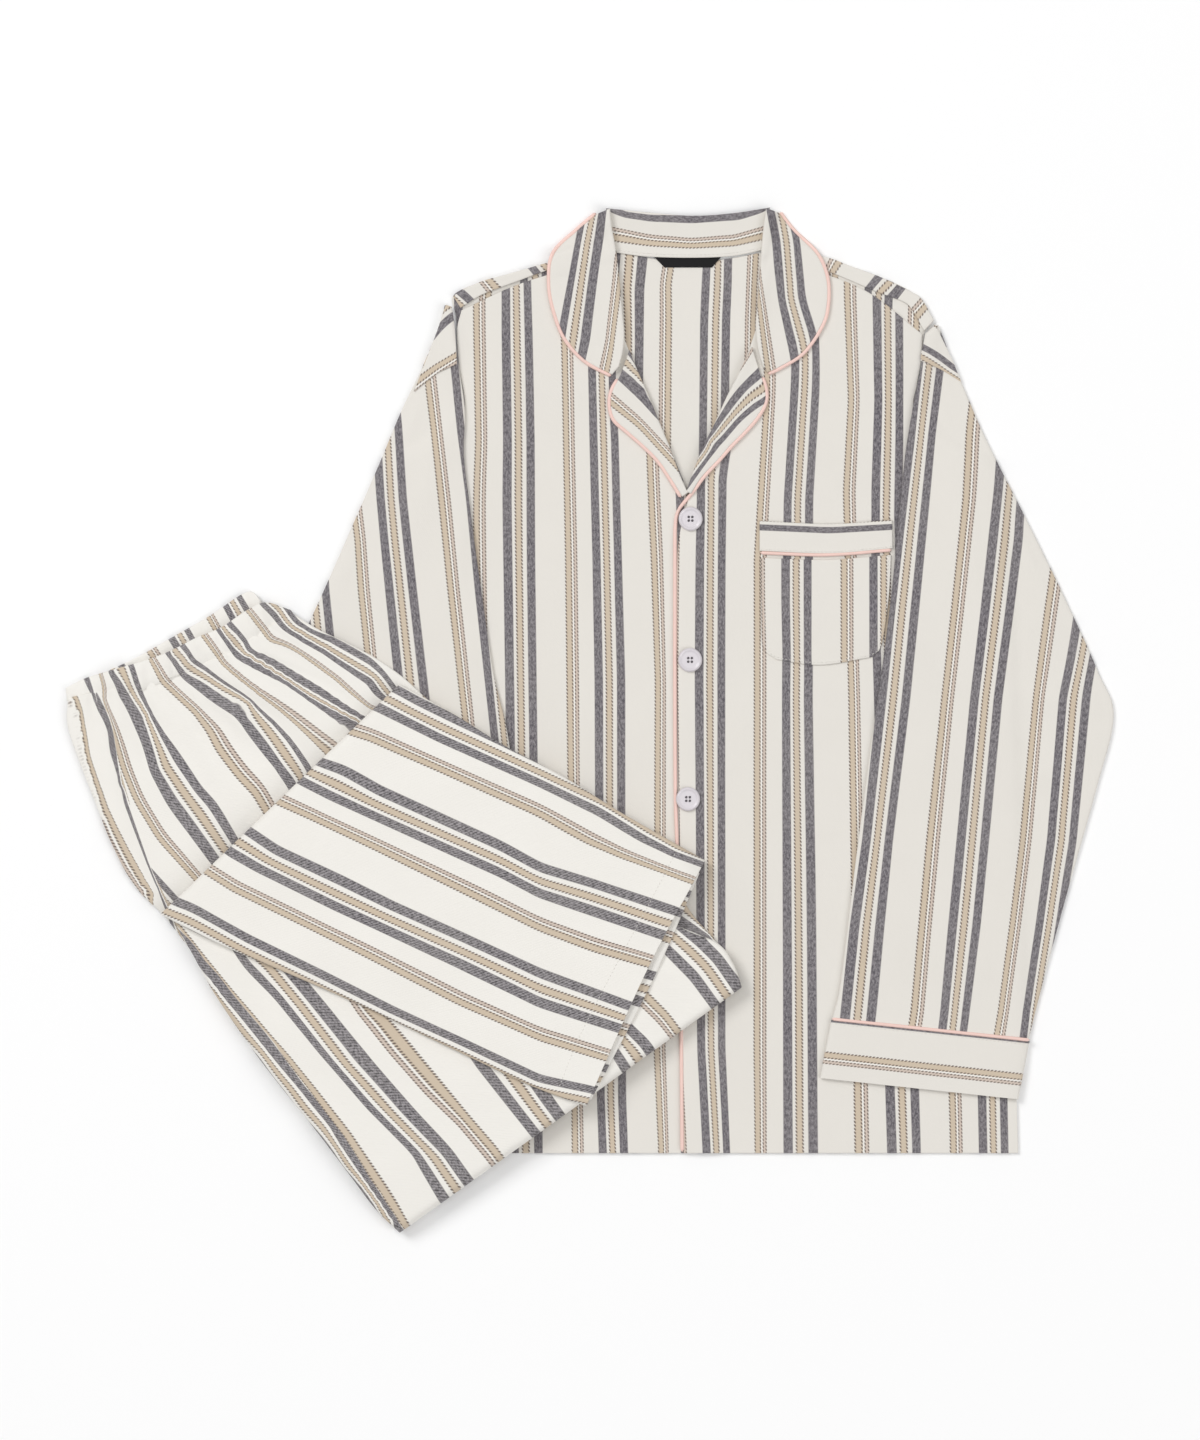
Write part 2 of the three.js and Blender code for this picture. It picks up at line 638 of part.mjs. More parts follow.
function addCollar() {
  const on = ["top_back", "shoulder_left", "shoulder_right", "top_front_left", "top_front_right"];
  const leaf = (name, rows) => {
    const { cloth, line } = pipedEdge(rows, PIPING_RADIUS, 14);
    const size = { across: 3, along: 14, thickness: LAID_DOUBLE, on };
    return { solid: solidOf(sheet(name, cloth, size)), line };
  };
  const left = leaf("leaf_left", LEAF_LEFT_ROWS);
  const right = leaf("leaf_right", LEAF_RIGHT_ROWS);
  const back = pillow(COLLAR_BACK_ROWS, {
    across: 3,
    along: 8,
    rims: { a: true },
    baseAt: () => 0,
    heightAt: () => COLLAR_STAND,
  });
  place("collar", geometryOf(left.solid.add(right.solid).add(back)), clothMaterial);
  piping("piping_collar_left", lying(left.line.slice(3), PIPING_RADIUS, on), PIPING_RADIUS, 14);
  piping("piping_collar_right", lying(right.line.slice(3), PIPING_RADIUS, on), PIPING_RADIUS, 14);
}

function addLapels() {
  const pieces = [
    { side: "left", rows: LAPEL_LEFT_ROWS, tail: [] },
    { side: "right", rows: LAPEL_RIGHT_ROWS, tail: PLACKET_PIPING },
  ];
  for (const { side, rows, tail } of pieces) {
    const on = ["top_back", "top_front_left", "top_front_right"].slice(0, side === "left" ? 2 : 3);
    const { cloth, line } = pipedEdge(rows, PIPING_RADIUS, 16);
    const size = { across: 3, along: 16, thickness: LAID_DOUBLE, on, gap: LAPEL_GAP };
    place("lapel_" + side, sheet("lapel_" + side, cloth, size), clothMaterial);
    const edge = lying(tail.map(([x, y]) => toMm(x, y)), PIPING_RADIUS, ["top_front_left"]);
    const path = [...lying(line, PIPING_RADIUS, on), ...edge];
    piping("piping_front_" + side, path, PIPING_RADIUS, side === "left" ? 20 : 56);
  }
}

function addPocket() {
  const on = ["top_front_right"];
  place("pocket", sheet("pocket", POCKET_ROWS, { across: 6, along: 6, on }), clothMaterial);
  const band = sheet("pocket_band", POCKET_BAND_ROWS, { across: 6, along: 2, thickness: BAND_THICKNESS, on });
  place("pocket_band", band, clothMaterial);
  const edge = lying(POCKET_PIPING.map(([x, y]) => toMm(x, y)), POCKET_PIPING_RADIUS, on);
  piping("piping_pocket", edge, POCKET_PIPING_RADIUS, 6);
}

function addLabel() {
  const low = CLOTH + GAP;
  place("neck_label", flatPiece(LABEL_OUTLINE, low, low + LABEL_THICKNESS), labelMaterial);
}

// A dished disc with a rounded rim and four sewing holes.
function addButtons() {
  const { radius, height, edge, foot, rim, dish, holeRadius, holeOffset } = BUTTON;
  const profile = [
    [0, 0], [radius, foot], [radius, foot + edge], [radius - rim / 2, height],
    [radius - 2 * rim, height - dish], [0, height - dish],
  ].map(([x, y]) => new THREE.Vector2(x, y));
  const disc = solidOf(new THREE.LatheGeometry(profile, 18).rotateX(Math.PI / 2));
  const hole = (dx, dy) => {
    const geometry = new THREE.CylinderGeometry(holeRadius, holeRadius, 4 * height, 6);
    return solidOf(geometry.rotateX(Math.PI / 2).translate(dx, dy, 0));
  };
  let pierced = disc;
  for (const dx of [-holeOffset, holeOffset]) {
    for (const dy of [-holeOffset, holeOffset]) pierced = pierced.subtract(hole(dx, dy));
  }
  for (const { name, x, y } of BUTTONS) {
    const centre = toMm(x, y);
    const mesh = new THREE.Mesh(geometryOf(pierced), buttonMaterial);
    mesh.name = name;
    mesh.position.set(centre.x, centre.y, buttonBase(centre));
    set.add(mesh);
  }
}

const buttonBase = (centre) => supportAt(centre, ["top_front_right"]) + GAP;

// Soft ridges of cloth that fall from the waist.
function foldsAt(p) {
  return WAIST_FOLDS.reduce((sum, { x0, y0, x1, y1, height, width }) => {
    const distance = distanceToSegment(p, toMm(x0, y0), toMm(x1, y1));
    return sum + height * Math.exp(-((distance / width) ** 2));
  }, 0);
}

function addTrousers() {
  const shirt = ["top_back", "top_front_left", "top_front_right", "sleeve_left", "cuff_left"];
  const { upper: upperHeight, turned: turnedHeight, lower: lowerHeight } = LAYER_HEIGHTS;
  const groundAt = (p) => {
    const support = supportAt(p, shirt, TROUSER_FALL);
    return support + Math.min(1, support) * ON_TOP_CLEAR;
  };
  // Each layer as an outer form, the hollow inside its wall, the filling, and the form grown by a gap.
  const forms = (rows, options) => {
    const form = (extra) => pillow(rows, { ...options, sink: BLOCK_DEPTH, ...extra });
    return {
      outer: form({}),
      hollow: form({ grow: -CLOTH, lift: -CLOTH, open: OPEN_END }),
      filling: form({ grow: -CLOTH - FILLING_GAP, lift: -CLOTH - FILLING_GAP, open: -GAP }),
      grown: form({ grow: GAP, lift: GAP, open: GAP }),
    };
  };
  const upper = forms(UPPER_ROWS, {
    across: 8,
    along: 15,
    rims: { a: true, b: true, end: true },
    baseAt: groundAt,
    heightAt: (p) => upperHeight + foldsAt(p),
  });
  const turned = forms(TURNED_ROWS, {
    across: 7,
    along: 9,
    rims: { a: true, b: true, start: true, end: true },
    baseAt: groundAt,
    heightAt: () => upperHeight + turnedHeight,
  });
  const lower = forms(LOWER_ROWS, {
    across: 7,
    along: 9,
    rims: { a: true, b: true, start: true },
    baseAt: groundAt,
    heightAt: () => upperHeight + turnedHeight + lowerHeight,
  });
  const waist = waistForms(groundAt);
  place("waistband_back", cleaned(waist.back), trouserMaterial);
  place("waistband_front", cleaned(waist.front), trouserMaterial);

  const { left, right } = UPPER_CLOTH_END;
  const upperCloth = block([[0, 560], [right[0], 560], right, left, [0, 1100]]);
  const turnedCloth = block(TURNED_CLOTH);
  const ground = groundUnder(groundAt);
  const upperWall = upper.outer.subtract(upper.hollow).intersect(upperCloth).subtract(waist.grown).subtract(ground);
  const seamLeft = block([...SIDE_SEAM, [0, 1100], [0, 640]]);
  const seamRight = block([...SIDE_SEAM.map(([x, y]) => [x + SEAM_STEP, y]), [600, 1100], [600, 560], [100, 560]]);
  place("trouser_back_edge", cleaned(upperWall.intersect(seamLeft)), trouserMaterial);
  place("trouser_front", cleaned(upperWall.intersect(seamRight)), trouserMaterial);
  const turnedWall = turned.outer.subtract(turned.hollow).subtract(upper.grown).intersect(turnedCloth)
    .subtract(ground);
  place("far_leg_turned", cleaned(turnedWall), trouserMaterial);
  const lowerWall = lower.outer.subtract(lower.hollow).subtract(turned.grown).subtract(upper.grown)
    .subtract(ground);
  place("near_leg_lower", cleaned(lowerWall), trouserMaterial);

  const upperClear = upperCloth.translate([GAP, -GAP, 0]);
  const turnedClear = turnedCloth.translate([-GAP, GAP, 0]);
  const hemRoom = block(HEM_ROOM);
  const core = lower.filling.subtract(hemRoom)
    .add(turned.outer.subtract(turnedClear))
    .subtract(turned.grown.intersect(turnedClear))
    .add(turned.filling)
    .subtract(upper.grown.intersect(upperClear))
    .add(upper.outer.subtract(upperClear))
    .add(upper.filling)
    .subtract(waist.grown)
    .subtract(buttonRoom())
    .subtract(ground);
  place("trouser_hidden_layers", cleaned(core), hiddenMaterial);

  // The other leg's hem follows the turned layer beneath it.
  const lifted = (height) => turned.outer.translate([0, 0, height]);
  const underHem = lifted(GAP + CLOTH).subtract(lifted(GAP)).intersect(block(UNDER_HEM));
  place("far_leg_hem", cleaned(underHem), trouserMaterial);
}

// A solid's largest body with its nearly equal points joined, without the crumbs and fins that a cut leaves.
function cleaned(solid) {
  const bodies = solidOf(geometryOf(solid)).decompose();
  return geometryOf(bodies.reduce((best, body) => (body.volume() > best.volume() ? body : best)));
}

// Everything below the trousers: the surface, and the top where they lie over it.
function groundUnder(groundAt) {
  const { left, right, top, bottom, across, along } = GROUND;
  const spot = (u, v) => toMm(left + (right - left) * u, top + (bottom - top) * v);
  const grid = shares(along).map((v) => shares(across).map((u) => spot(u, v)));
  return solidOf(
    between(
      grid.map((line) => line.map((p) => new THREE.Vector3(p.x, p.y, groundAt(p)))),
      grid.map((line) => line.map((p) => new THREE.Vector3(p.x, p.y, -2 * BLOCK_DEPTH))),
    ),
  );
}

// The casing of the elastic, gathered, with the back of the waist showing past it.
function waistForms(groundAt) {
  const backForm = (options) =>
    pillow(WAIST_BACK_ROWS, {
      across: 2,
      along: 10,
      rims: { a: true },
      baseAt: groundAt,
      heightAt: () => WAIST_BACK_HEIGHT,
      ...options,
    });
  const frontForm = (options) =>
    pillow(WAIST_ROWS, {
      across: 2,
      along: 4 * GATHERS.count,
      rims: { a: true, b: true, start: true, end: true },
      baseAt: groundAt,
      heightAt: (p, v) => WAIST_HEIGHT + GATHERS.depth * Math.cos(2 * Math.PI * GATHERS.count * v),
      ...options,
    });
  const roomForBack = backForm({ grow: GAP, lift: GAP, sink: BLOCK_DEPTH, open: GAP });
  return {
    back: backForm({}),
    front: frontForm({}).subtract(roomForBack),
    grown: frontForm({ grow: GAP, lift: BLOCK_DEPTH, sink: BLOCK_DEPTH }).add(roomForBack),
  };
}

// Room in the trousers' underside for the button that they cover.
function buttonRoom() {
  const { x, y } = BUTTONS[3];
  const centre = toMm(x, y);
  const height = BUTTON.height + 4 * GAP + ON_TOP_CLEAR;
  const room = new THREE.CylinderGeometry(BUTTON.radius + 1, BUTTON.radius + 1, height, 16);
  const low = buttonBase(centre) - GAP;
  return solidOf(room.rotateX(Math.PI / 2).translate(centre.x, centre.y, low + height / 2));
}

addBack();
addFronts();
addSleeves();
addCollar();
addLapels();
addPocket();
addLabel();
addButtons();
addTrousers();

export default set;
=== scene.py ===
"""A striped pyjama set laid flat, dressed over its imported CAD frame.

The plan tables are in steps of 709 / 945 mm, seen from straight above, x to the right and y down towards the
hem. Every cloth is a grid of two shares, u across the piece and v along it.
"""

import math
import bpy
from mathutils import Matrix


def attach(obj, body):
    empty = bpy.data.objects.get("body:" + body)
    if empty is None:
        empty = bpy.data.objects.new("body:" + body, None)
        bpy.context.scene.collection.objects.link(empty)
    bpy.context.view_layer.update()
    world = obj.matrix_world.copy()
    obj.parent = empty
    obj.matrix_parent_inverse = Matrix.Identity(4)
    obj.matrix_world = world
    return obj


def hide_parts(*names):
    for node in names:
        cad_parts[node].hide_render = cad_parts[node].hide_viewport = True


bl_info = {
    "name": "Pyjama set, laid flat",
    "version": (1, 0, 0),
    "blender": (4, 5, 0),
    "location": "View3D > Sidebar > Pyjamas",
    "description": "Cloth, piping, buttons, stitches and stage of a striped pyjama set",
    "category": "Add Mesh",
}

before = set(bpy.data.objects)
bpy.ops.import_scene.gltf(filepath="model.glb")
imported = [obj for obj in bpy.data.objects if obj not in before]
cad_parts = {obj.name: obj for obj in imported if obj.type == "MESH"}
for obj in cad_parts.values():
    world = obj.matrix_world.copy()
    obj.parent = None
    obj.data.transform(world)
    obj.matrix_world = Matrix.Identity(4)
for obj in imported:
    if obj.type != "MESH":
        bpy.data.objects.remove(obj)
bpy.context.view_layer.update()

import bmesh
import bpy
import numpy as np
from bpy.props import FloatProperty, FloatVectorProperty, PointerProperty

STEP = 0.709 / 945
PLAN_CENTRE = np.array([588.8, 719.4])
# One layer of cloth, the gap between layers and the wall of a tube, in metres
CLOTH = 0.0010
GAP = 0.0003
WALL = 0.0008
# How far the trousers slope down from the top, and how closely a base follows what is under it
TROUSER_FALL = 0.060
CLOSE = 0.004
# The grid's cell on small pieces, the rounded edge of hidden layers, and the steps along cords and guides
FINE_CELL = 0.002
HIDDEN_RIM = 0.0013
CORD_STEP = 0.002
GUIDE_STEP = 0.008
# The radius of the thinner cord, on the pocket and cuffs
TRIM_CORD = 0.0013

# The pitch of the weave, of the twill's ribs and the dots, and of the threads round a cord, in metres
WEAVE_PITCH = 0.0011
RIB_PITCH = 0.0027
CORD_PITCH = 0.0009
# How strongly the trousers' ribs show, in tone and height
TWILL = 0.45

# The stripe repeat in steps on the top, the middle of each band in it, and the edges of some
REPEAT = 85.8
WIDE = 4.25
TAN = 14.6
NARROW = 25.65
PAIR = 60.8
THIN = 67.6
PAIR_START = 57.7
PAIR_END = 63.5
DARK_START = 0.0
DARK_END = 8.5
NARROW_START = 21.9
NARROW_END = 29.4
TROUSER_REPEAT = 101 * STEP


def rows(*lines):
    """Rows across a piece in steps, each given as edge a, edge b and, where it isn't halfway, the middle."""
    return [
        ((ax, ay), tuple(middle) or ((ax + bx) / 2, (ay + by) / 2), (bx, by))
        for ax, ay, bx, by, *middle in lines
    ]


def guides(*lines):
    """Lines that the stripes follow: each one's place in a repeat, the repeat, and the points on it."""
    return [
        (band + repeat * REPEAT, tuple(zip(places[::2], places[1::2])))
        for band, repeat, *places in lines
    ]


# Back: a is the left side and b the right side, neck to hem
BACK_ROWS = rows(
    (596, 249, 783, 249, 692, 262), (550, 262, 825, 257, 692, 278), (510, 273.5, 850, 266, 692, 293),
    (477.6, 283, 880, 277, 692, 308), (453, 296, 911, 291.8, 692, 324), (456, 315, 928, 314, 692, 341),
    (457, 331, 924, 335, 692, 358), (459, 367, 920, 365, 692, 385), (464, 412, 914.5, 412, 692, 420),
    (440, 452, 938, 452, 692, 456), (395, 478, 985, 478, 692, 484), (384, 560, 996, 560),
    (376, 700, 1004, 700), (371, 850, 1009, 850), (366, 1000, 1014, 1000), (362, 1153, 1018, 1153),
)
# Fronts: a is the outer side, shoulder to side seam, and b the neck and placket
FRONT_LEFT_ROWS = rows(
    (461.5, 310.4, 600, 260, 520, 284), (457, 331, 617, 318), (459, 367, 635, 366), (464, 412, 655, 412),
    (440, 452, 673, 455), (395, 478, 692, 505), (384, 560, 706, 560), (376, 700, 706, 700),
    (371, 850, 707, 850), (366, 1000, 708, 1000), (362, 1153, 708, 1153),
)
FRONT_RIGHT_ROWS = rows(
    (922.5, 334.5, 779, 259.5, 862, 289), (921, 360, 759, 320), (917, 385, 743, 365),
    (914.5, 412, 721, 411), (938, 452, 699, 457), (985, 478, 687, 504), (996, 560, 677, 560),
    (1004, 700, 677.5, 700), (1009, 850, 680, 850), (1014, 1000, 682, 1000), (1018, 1153, 683.5, 1153),
)
# Shoulder folds: a is the outer fold and b the forward seam
SHOULDER_LEFT_ROWS = rows(
    (596, 249, 600, 258), (550, 262, 551, 269.6), (510, 273.5, 516, 282), (477.6, 283, 483, 294.5),
    (453, 296, 460.5, 308),
)
SHOULDER_RIGHT_ROWS = rows(
    (783, 249, 779, 257), (825, 257, 818, 268), (850, 266, 846, 279), (880, 277, 874, 291),
    (911, 291.8, 903, 302), (921.4, 299, 913, 311.5), (934, 320.5, 924, 331.5),
)
# Sleeves: a is the armhole and then the inner fold, b the outer fold
SLEEVE_RIGHT_ROWS = rows(
    (926, 336, 938, 324.5), (923, 360, 953, 363), (917, 385, 965, 391), (912, 411, 978, 422),
    (905, 455, 1000, 468), (899, 515, 1030, 527), (891, 595, 1067, 603), (881, 675, 1098, 672),
    (873, 730, 1113.5, 716), (862, 810, 1096, 790), (850, 905, 1067, 893), (840, 985, 1040, 993),
    (832, 1018.5, 1028.5, 1039.5),
)
SLEEVE_LEFT_ROWS = rows(
    (451.5, 311, 445, 305), (454.5, 335, 436, 334), (459, 367, 422, 368), (465, 411, 401, 412),
    (464, 455, 381, 460), (471, 515, 355, 520), (482, 595, 321, 597), (494, 675, 287, 670),
    (507, 730, 266.5, 716), (518, 810, 284, 790), (530, 905, 313, 893), (540, 985, 340, 993),
    (548, 1018.5, 351.5, 1039.5),
)
# Sleeve heads, where the back of the sleeve rolls forward: a is the armhole, b the outer fold
HEAD_LEFT_ROWS = rows(
    (452, 307, 446, 305), (454.5, 325, 439, 326), (456, 344, 430, 350), (457, 364.5, 414, 392, 438, 373),
)
HEAD_RIGHT_ROWS = rows(
    (925, 334, 935, 325), (923, 345, 944, 343), (921, 353, 953, 362), (920.4, 361, 961, 382, 941, 370),
)
CUFF_RIGHT_ROWS = rows(
    (831, 1019.8, 1029.5, 1041), (819.5, 1077.7, 1018, 1099),
)
CUFF_LEFT_ROWS = rows(
    (549, 1019.8, 350.5, 1041), (560.5, 1077.7, 362, 1099),
)
# Collar leaves: a is the roll beside the neck, b the piped outer edge
LEAF_LEFT_ROWS = rows(
    (610, 209, 597, 214), (612, 228, 577, 231), (616, 250, 554, 254), (620, 285, 550, 284),
    (623, 315, 555, 312), (624.5, 335, 566, 339), (623, 352, 586, 361), (619, 367, 612, 375),
)
LEAF_RIGHT_ROWS = rows(
    (766, 208.5, 779, 213), (763, 230, 793, 231), (761, 252, 816, 254), (759, 279, 826.5, 279),
    (757, 306, 826.8, 306), (755.5, 326, 821, 326), (757, 345, 803, 352), (760, 358, 780, 367),
    (763, 367, 767, 373),
)
COLLAR_BACK_ROWS = rows(
    (606, 208.5, 613, 252.5), (647, 212.5, 647, 256.8), (692, 216, 692, 258), (732, 213.5, 732, 256.3),
    (770, 207.8, 764, 250),
)
# Lapels: a is the roll, b the piped edge
LAPEL_LEFT_ROWS = rows(
    (629.5, 350, 619, 379.5), (633, 360, 612.5, 391), (639, 374, 610.5, 405), (647, 392, 614.5, 419.5),
    (654, 409, 627, 431), (663, 431, 643, 445), (672, 453, 658, 460), (680, 475, 671, 479),
    (688, 493, 682, 497),
)
LAPEL_RIGHT_ROWS = rows(
    (752, 347, 761, 377), (745, 360, 765, 389), (739, 373, 765, 402), (729, 392, 757, 417),
    (721, 409, 743, 433), (712, 429, 730, 446), (703, 447, 719, 459), (693, 472, 702, 477),
    (686, 492, 691, 494),
)
POCKET_ROWS = rows(
    (761, 557.8, 891, 555, 826, 559.8), (761.3, 600, 888.5, 598), (763, 646, 881.5, 644),
    (776, 659.5, 872, 657, 820, 665),
)
POCKET_BAND_ROWS = rows(
    (759.5, 521, 892, 520, 830, 524), (759.5, 551, 892.5, 548.5, 829, 553.5),
)
LABEL_ROWS = rows(
    (652.5, 255.5, 723, 255), (664.5, 267.6, 712, 267.6),
)
PLACKET_PIPING = [
    (684, 500), (676.5, 510), (673.3, 524), (672.8, 560), (672.8, 700), (673.4, 799), (675, 850),
    (678.5, 1000), (680, 1152),
]
POCKET_PIPING = [(760, 555), (826, 557), (891.5, 552.2)]
BUTTONS = {"button_1": (690.5, 519), "button_2": (690, 660), "button_3": (688, 799), "button_4": (692, 940)}

# Trousers: the waist casing, then the legs' layers from the surface up
WAIST_ROWS = rows(
    (66, 688, 67, 701), (86, 678, 92, 707), (112, 670, 118, 699), (140, 662, 148, 692),
    (168, 652, 178, 679), (196, 638, 208, 671), (222, 627, 234, 658), (246, 611, 258, 644),
    (266, 602.5, 283, 628), (291, 610, 299, 621),
)
WAIST_BACK_ROWS = rows(
    (108, 671, 116, 684), (139.5, 656, 150, 676), (171, 638, 184, 662), (208, 617, 222, 642),
    (247, 592, 258, 620), (261, 600, 266, 612),
)
UPPER_ROWS = rows(
    (68, 698, 292, 613, 193, 667), (68, 726, 318, 629, 208, 690), (79, 760, 345, 642, 218, 712),
    (96, 804, 374, 657), (113, 846, 403, 677), (135, 886, 438, 708), (166, 918, 474, 731),
    (196, 957, 516, 759), (229, 1000, 560, 785), (262, 1044, 607, 813), (295, 1085, 652, 842),
    (326, 1124, 688, 908), (358, 1166, 718, 944), (401, 1218, 733, 976),
)
TURNED_ROWS = rows(
    (176, 921, 408, 699), (196, 957, 440, 714), (216, 993, 500, 752), (252, 1046, 580, 800),
    (285, 1089, 655, 843), (318, 1130, 672, 919), (352, 1175, 716, 943), (376, 1207, 732, 963),
    (400, 1231, 740.5, 986.5),
)
LOWER_ROWS = rows(
    (400, 684, 161, 914), (458, 716.5, 219.5, 943), (505.5, 746, 292, 974), (564.5, 777, 365.4, 1006),
    (620.6, 812, 445, 1044), (676.7, 844, 530, 1084), (704.8, 860, 586, 1105, 648, 967),
)
# The side seam of the upper layer, waist to second fold, and of the turned layer, fold to fold
SIDE_SEAM = [
    (93, 684), (104, 704), (112, 722), (117, 750), (122, 776), (135, 818), (147, 855), (155, 876),
    (162, 888), (171, 908), (178, 930),
]
TURNED_SEAM = [
    (170.7, 918), (182, 930.6), (195, 944.4), (205, 959), (219, 974), (236, 996), (251, 1014), (265, 1030),
    (278.5, 1047.6), (292, 1066), (303, 1082), (318, 1100), (331.6, 1117.4), (345.4, 1135.7),
    (354.6, 1150.7), (366, 1169), (377.6, 1187.4), (389, 1204.6), (399.4, 1220.7), (404, 1228.7),
]

FRONT_RIGHT_GUIDES = guides(
    (WIDE, 0, 701, 500, 699.8, 560, 699, 680, 700, 800, 700.5, 950, 701.2, 1050, 706.5, 1150),
    (NARROW, 0, 722.5, 480, 721.7, 560, 721.2, 680, 721.5, 850, 721.7, 1050, 726.6, 1150),
    (PAIR, 0, 767, 400, 757.5, 560, 757.3, 800, 757.3, 1050, 758, 1150),
    (WIDE, 1, 793.8, 400, 787.5, 500, 786, 700, 787, 900, 788, 1150),
    (NARROW, 1, 815, 400, 809, 500, 808, 700, 811, 900, 813, 1150),
    (PAIR, 1, 847.6, 300, 851.4, 400, 846.5, 490, 852, 700, 856, 950, 859, 1150),
    (WIDE, 2, 876.8, 300, 878.2, 400, 875.5, 490, 875, 617, 876.5, 655, 884, 900, 891.8, 1150),
    (NARROW, 2, 899, 300, 899.4, 372, 899.2, 442, 898, 513, 902, 640, 909, 900, 916.5, 1150),
    (WIDE, 3, 962, 500, 978, 900, 983, 1150),
    (NARROW, 3, 1000, 900, 1004.5, 1150),
)
FRONT_LEFT_GUIDES = guides(
    (PAIR, -2, 477, 331, 478.7, 440),
    (WIDE, -1, 506, 331, 507.4, 440, 507, 500, 510, 700, 514, 1150),
    (NARROW, -1, 528.6, 331, 530.6, 440, 531, 560, 538.5, 1150),
    (PAIR, -1, 565, 356, 566.5, 440, 568.8, 560, 575.4, 1150),
    (WIDE, 0, 592, 370, 593.5, 440, 596.5, 560, 598.7, 680, 600.7, 1100, 602.7, 1150),
    (NARROW, 0, 614.8, 440, 618, 560, 621, 680, 622, 1100, 623.8, 1150),
    (PAIR, 0, 654.5, 560, 658.2, 680, 657.2, 1050, 661.5, 1150),
    (WIDE, 1, 682, 560, 684, 1150),
)
BACK_GUIDES = guides(
    (TAN, 0, 629.5, 256, 627, 290, 628, 320),
    (WIDE, 0, 643, 256, 639.7, 290, 639.5, 320, 638, 480, 636, 1150),
    (PAIR, -1, 668, 285, 668.3, 320, 667, 480),
    (NARROW, -1, 705.7, 285, 704.2, 320, 702.5, 480),
    (WIDE, -1, 727.7, 285, 726.2, 320, 724, 480, 722, 1150),
    (PAIR, -2, 754.2, 285, 752.9, 320, 751, 480),
)
SLEEVE_RIGHT_GUIDES = guides(
    (WIDE, 0, 911, 435, 903.3, 500, 890.5, 610, 881.4, 699, 866.3, 840, 854, 928, 845.5, 1010),
    (NARROW, 0, 931.5, 435, 925.3, 500, 914.5, 610, 905.6, 699, 888.6, 840, 879.3, 928, 871.6, 1010),
    (PAIR, 0, 969.5, 435, 966, 500, 954.6, 610, 944.6, 699, 930, 840, 921.8, 928, 914.4, 1010),
    (WIDE, 1, 996.8, 500, 984.7, 610, 974, 699, 960.7, 840, 952, 928, 944.2, 1010),
    (NARROW, 1, 1018, 540, 1009.4, 610, 997.5, 699, 984.5, 840, 975.8, 928, 965.6, 1010),
    (PAIR, 1, 1047.9, 610, 1036, 699, 1022.9, 840, 1012, 928, 1000.9, 1010),
    (WIDE, 2, 1062.5, 699, 1050.9, 840, 1038.8, 928, 1026.3, 1010),
    (NARROW, 2, 1085.9, 699, 1072.7, 840),
)
SLEEVE_LEFT_GUIDES = guides(
    (WIDE, 1, 456, 380, 461, 431, 470.1, 500, 478.8, 590, 495, 740, 520, 980),
    (PAIR, 0, 428, 380, 434.3, 431, 442, 500, 451.2, 590, 468, 740, 493, 980),
    (NARROW, 0, 398.6, 431, 403, 500, 412.8, 590, 430, 740, 455, 980),
    (WIDE, 0, 380.9, 500, 384.4, 540, 389.5, 590, 405, 740, 430, 980),
    (PAIR, -1, 358, 540, 361.4, 590, 377, 740, 402, 980),
    (NARROW, -1, 325.5, 590, 341, 740, 366, 980),
)
HEAD_LEFT_GUIDES = guides(
    (TAN, 0, 438, 315, 446, 307, 454, 303),
    (NARROW, 0, 430, 340, 438, 330, 447, 321, 455, 315.5),
    (PAIR, 0, 418, 381, 435, 368, 457.5, 355),
    (THIN, 0, 419, 389, 442, 372, 458, 361.5),
)
HEAD_RIGHT_GUIDES = guides(
    (NARROW, 0, 922, 347, 937, 355, 951, 366),
    (TAN, 0, 921, 357, 936, 366, 956, 379),
    (PAIR, 0, 924, 318, 932, 322, 940, 328),
)
SHOULDER_LEFT_GUIDES = guides(
    (WIDE, 0, 459.8, 291.5, 470.6, 301),
    (THIN, -1, 481, 282, 490, 293),
    (PAIR, -1, 489, 280.6, 497.4, 289.6),
    (NARROW, -1, 531, 266, 540, 277),
    (TAN, -1, 541, 262, 550, 272),
)
SHOULDER_RIGHT_GUIDES = guides(
    (THIN, 0, 831, 260, 825.6, 271),
    (PAIR, 0, 838, 262.6, 831, 274),
    (NARROW, 0, 879, 276.7, 869, 289),
    (TAN, 0, 890, 282, 880, 292),
    (WIDE, 0, 901.4, 286.5, 891.5, 299),
    (THIN, -1, 921, 300.5, 912.6, 310),
)
LEAF_LEFT_GUIDES = guides(
    (NARROW, 0, 582, 222, 578.5, 240, 571.4, 280, 562.4, 331),
    (TAN, 0, 591, 222, 587.5, 240, 581.6, 280, 573.3, 340),
    (WIDE, 0, 602, 215, 599, 240, 593, 280, 585.4, 340),
    (THIN, -1, 616, 260, 614, 280, 607, 340),
    (PAIR, -1, 622, 260, 619, 285, 612, 340),
)
LEAF_RIGHT_GUIDES = guides(
    (PAIR, -1, 756, 270, 757.5, 292, 766.7, 362),
    (THIN, -1, 757, 255, 760, 278, 773.7, 368),
    (WIDE, 0, 771, 215, 776, 240, 781.5, 300, 792.6, 348),
    (TAN, 0, 783, 222, 786.2, 240, 791, 300, 802, 340),
    (NARROW, 0, 793, 226, 796.5, 240, 802, 300, 811, 328.6),
)
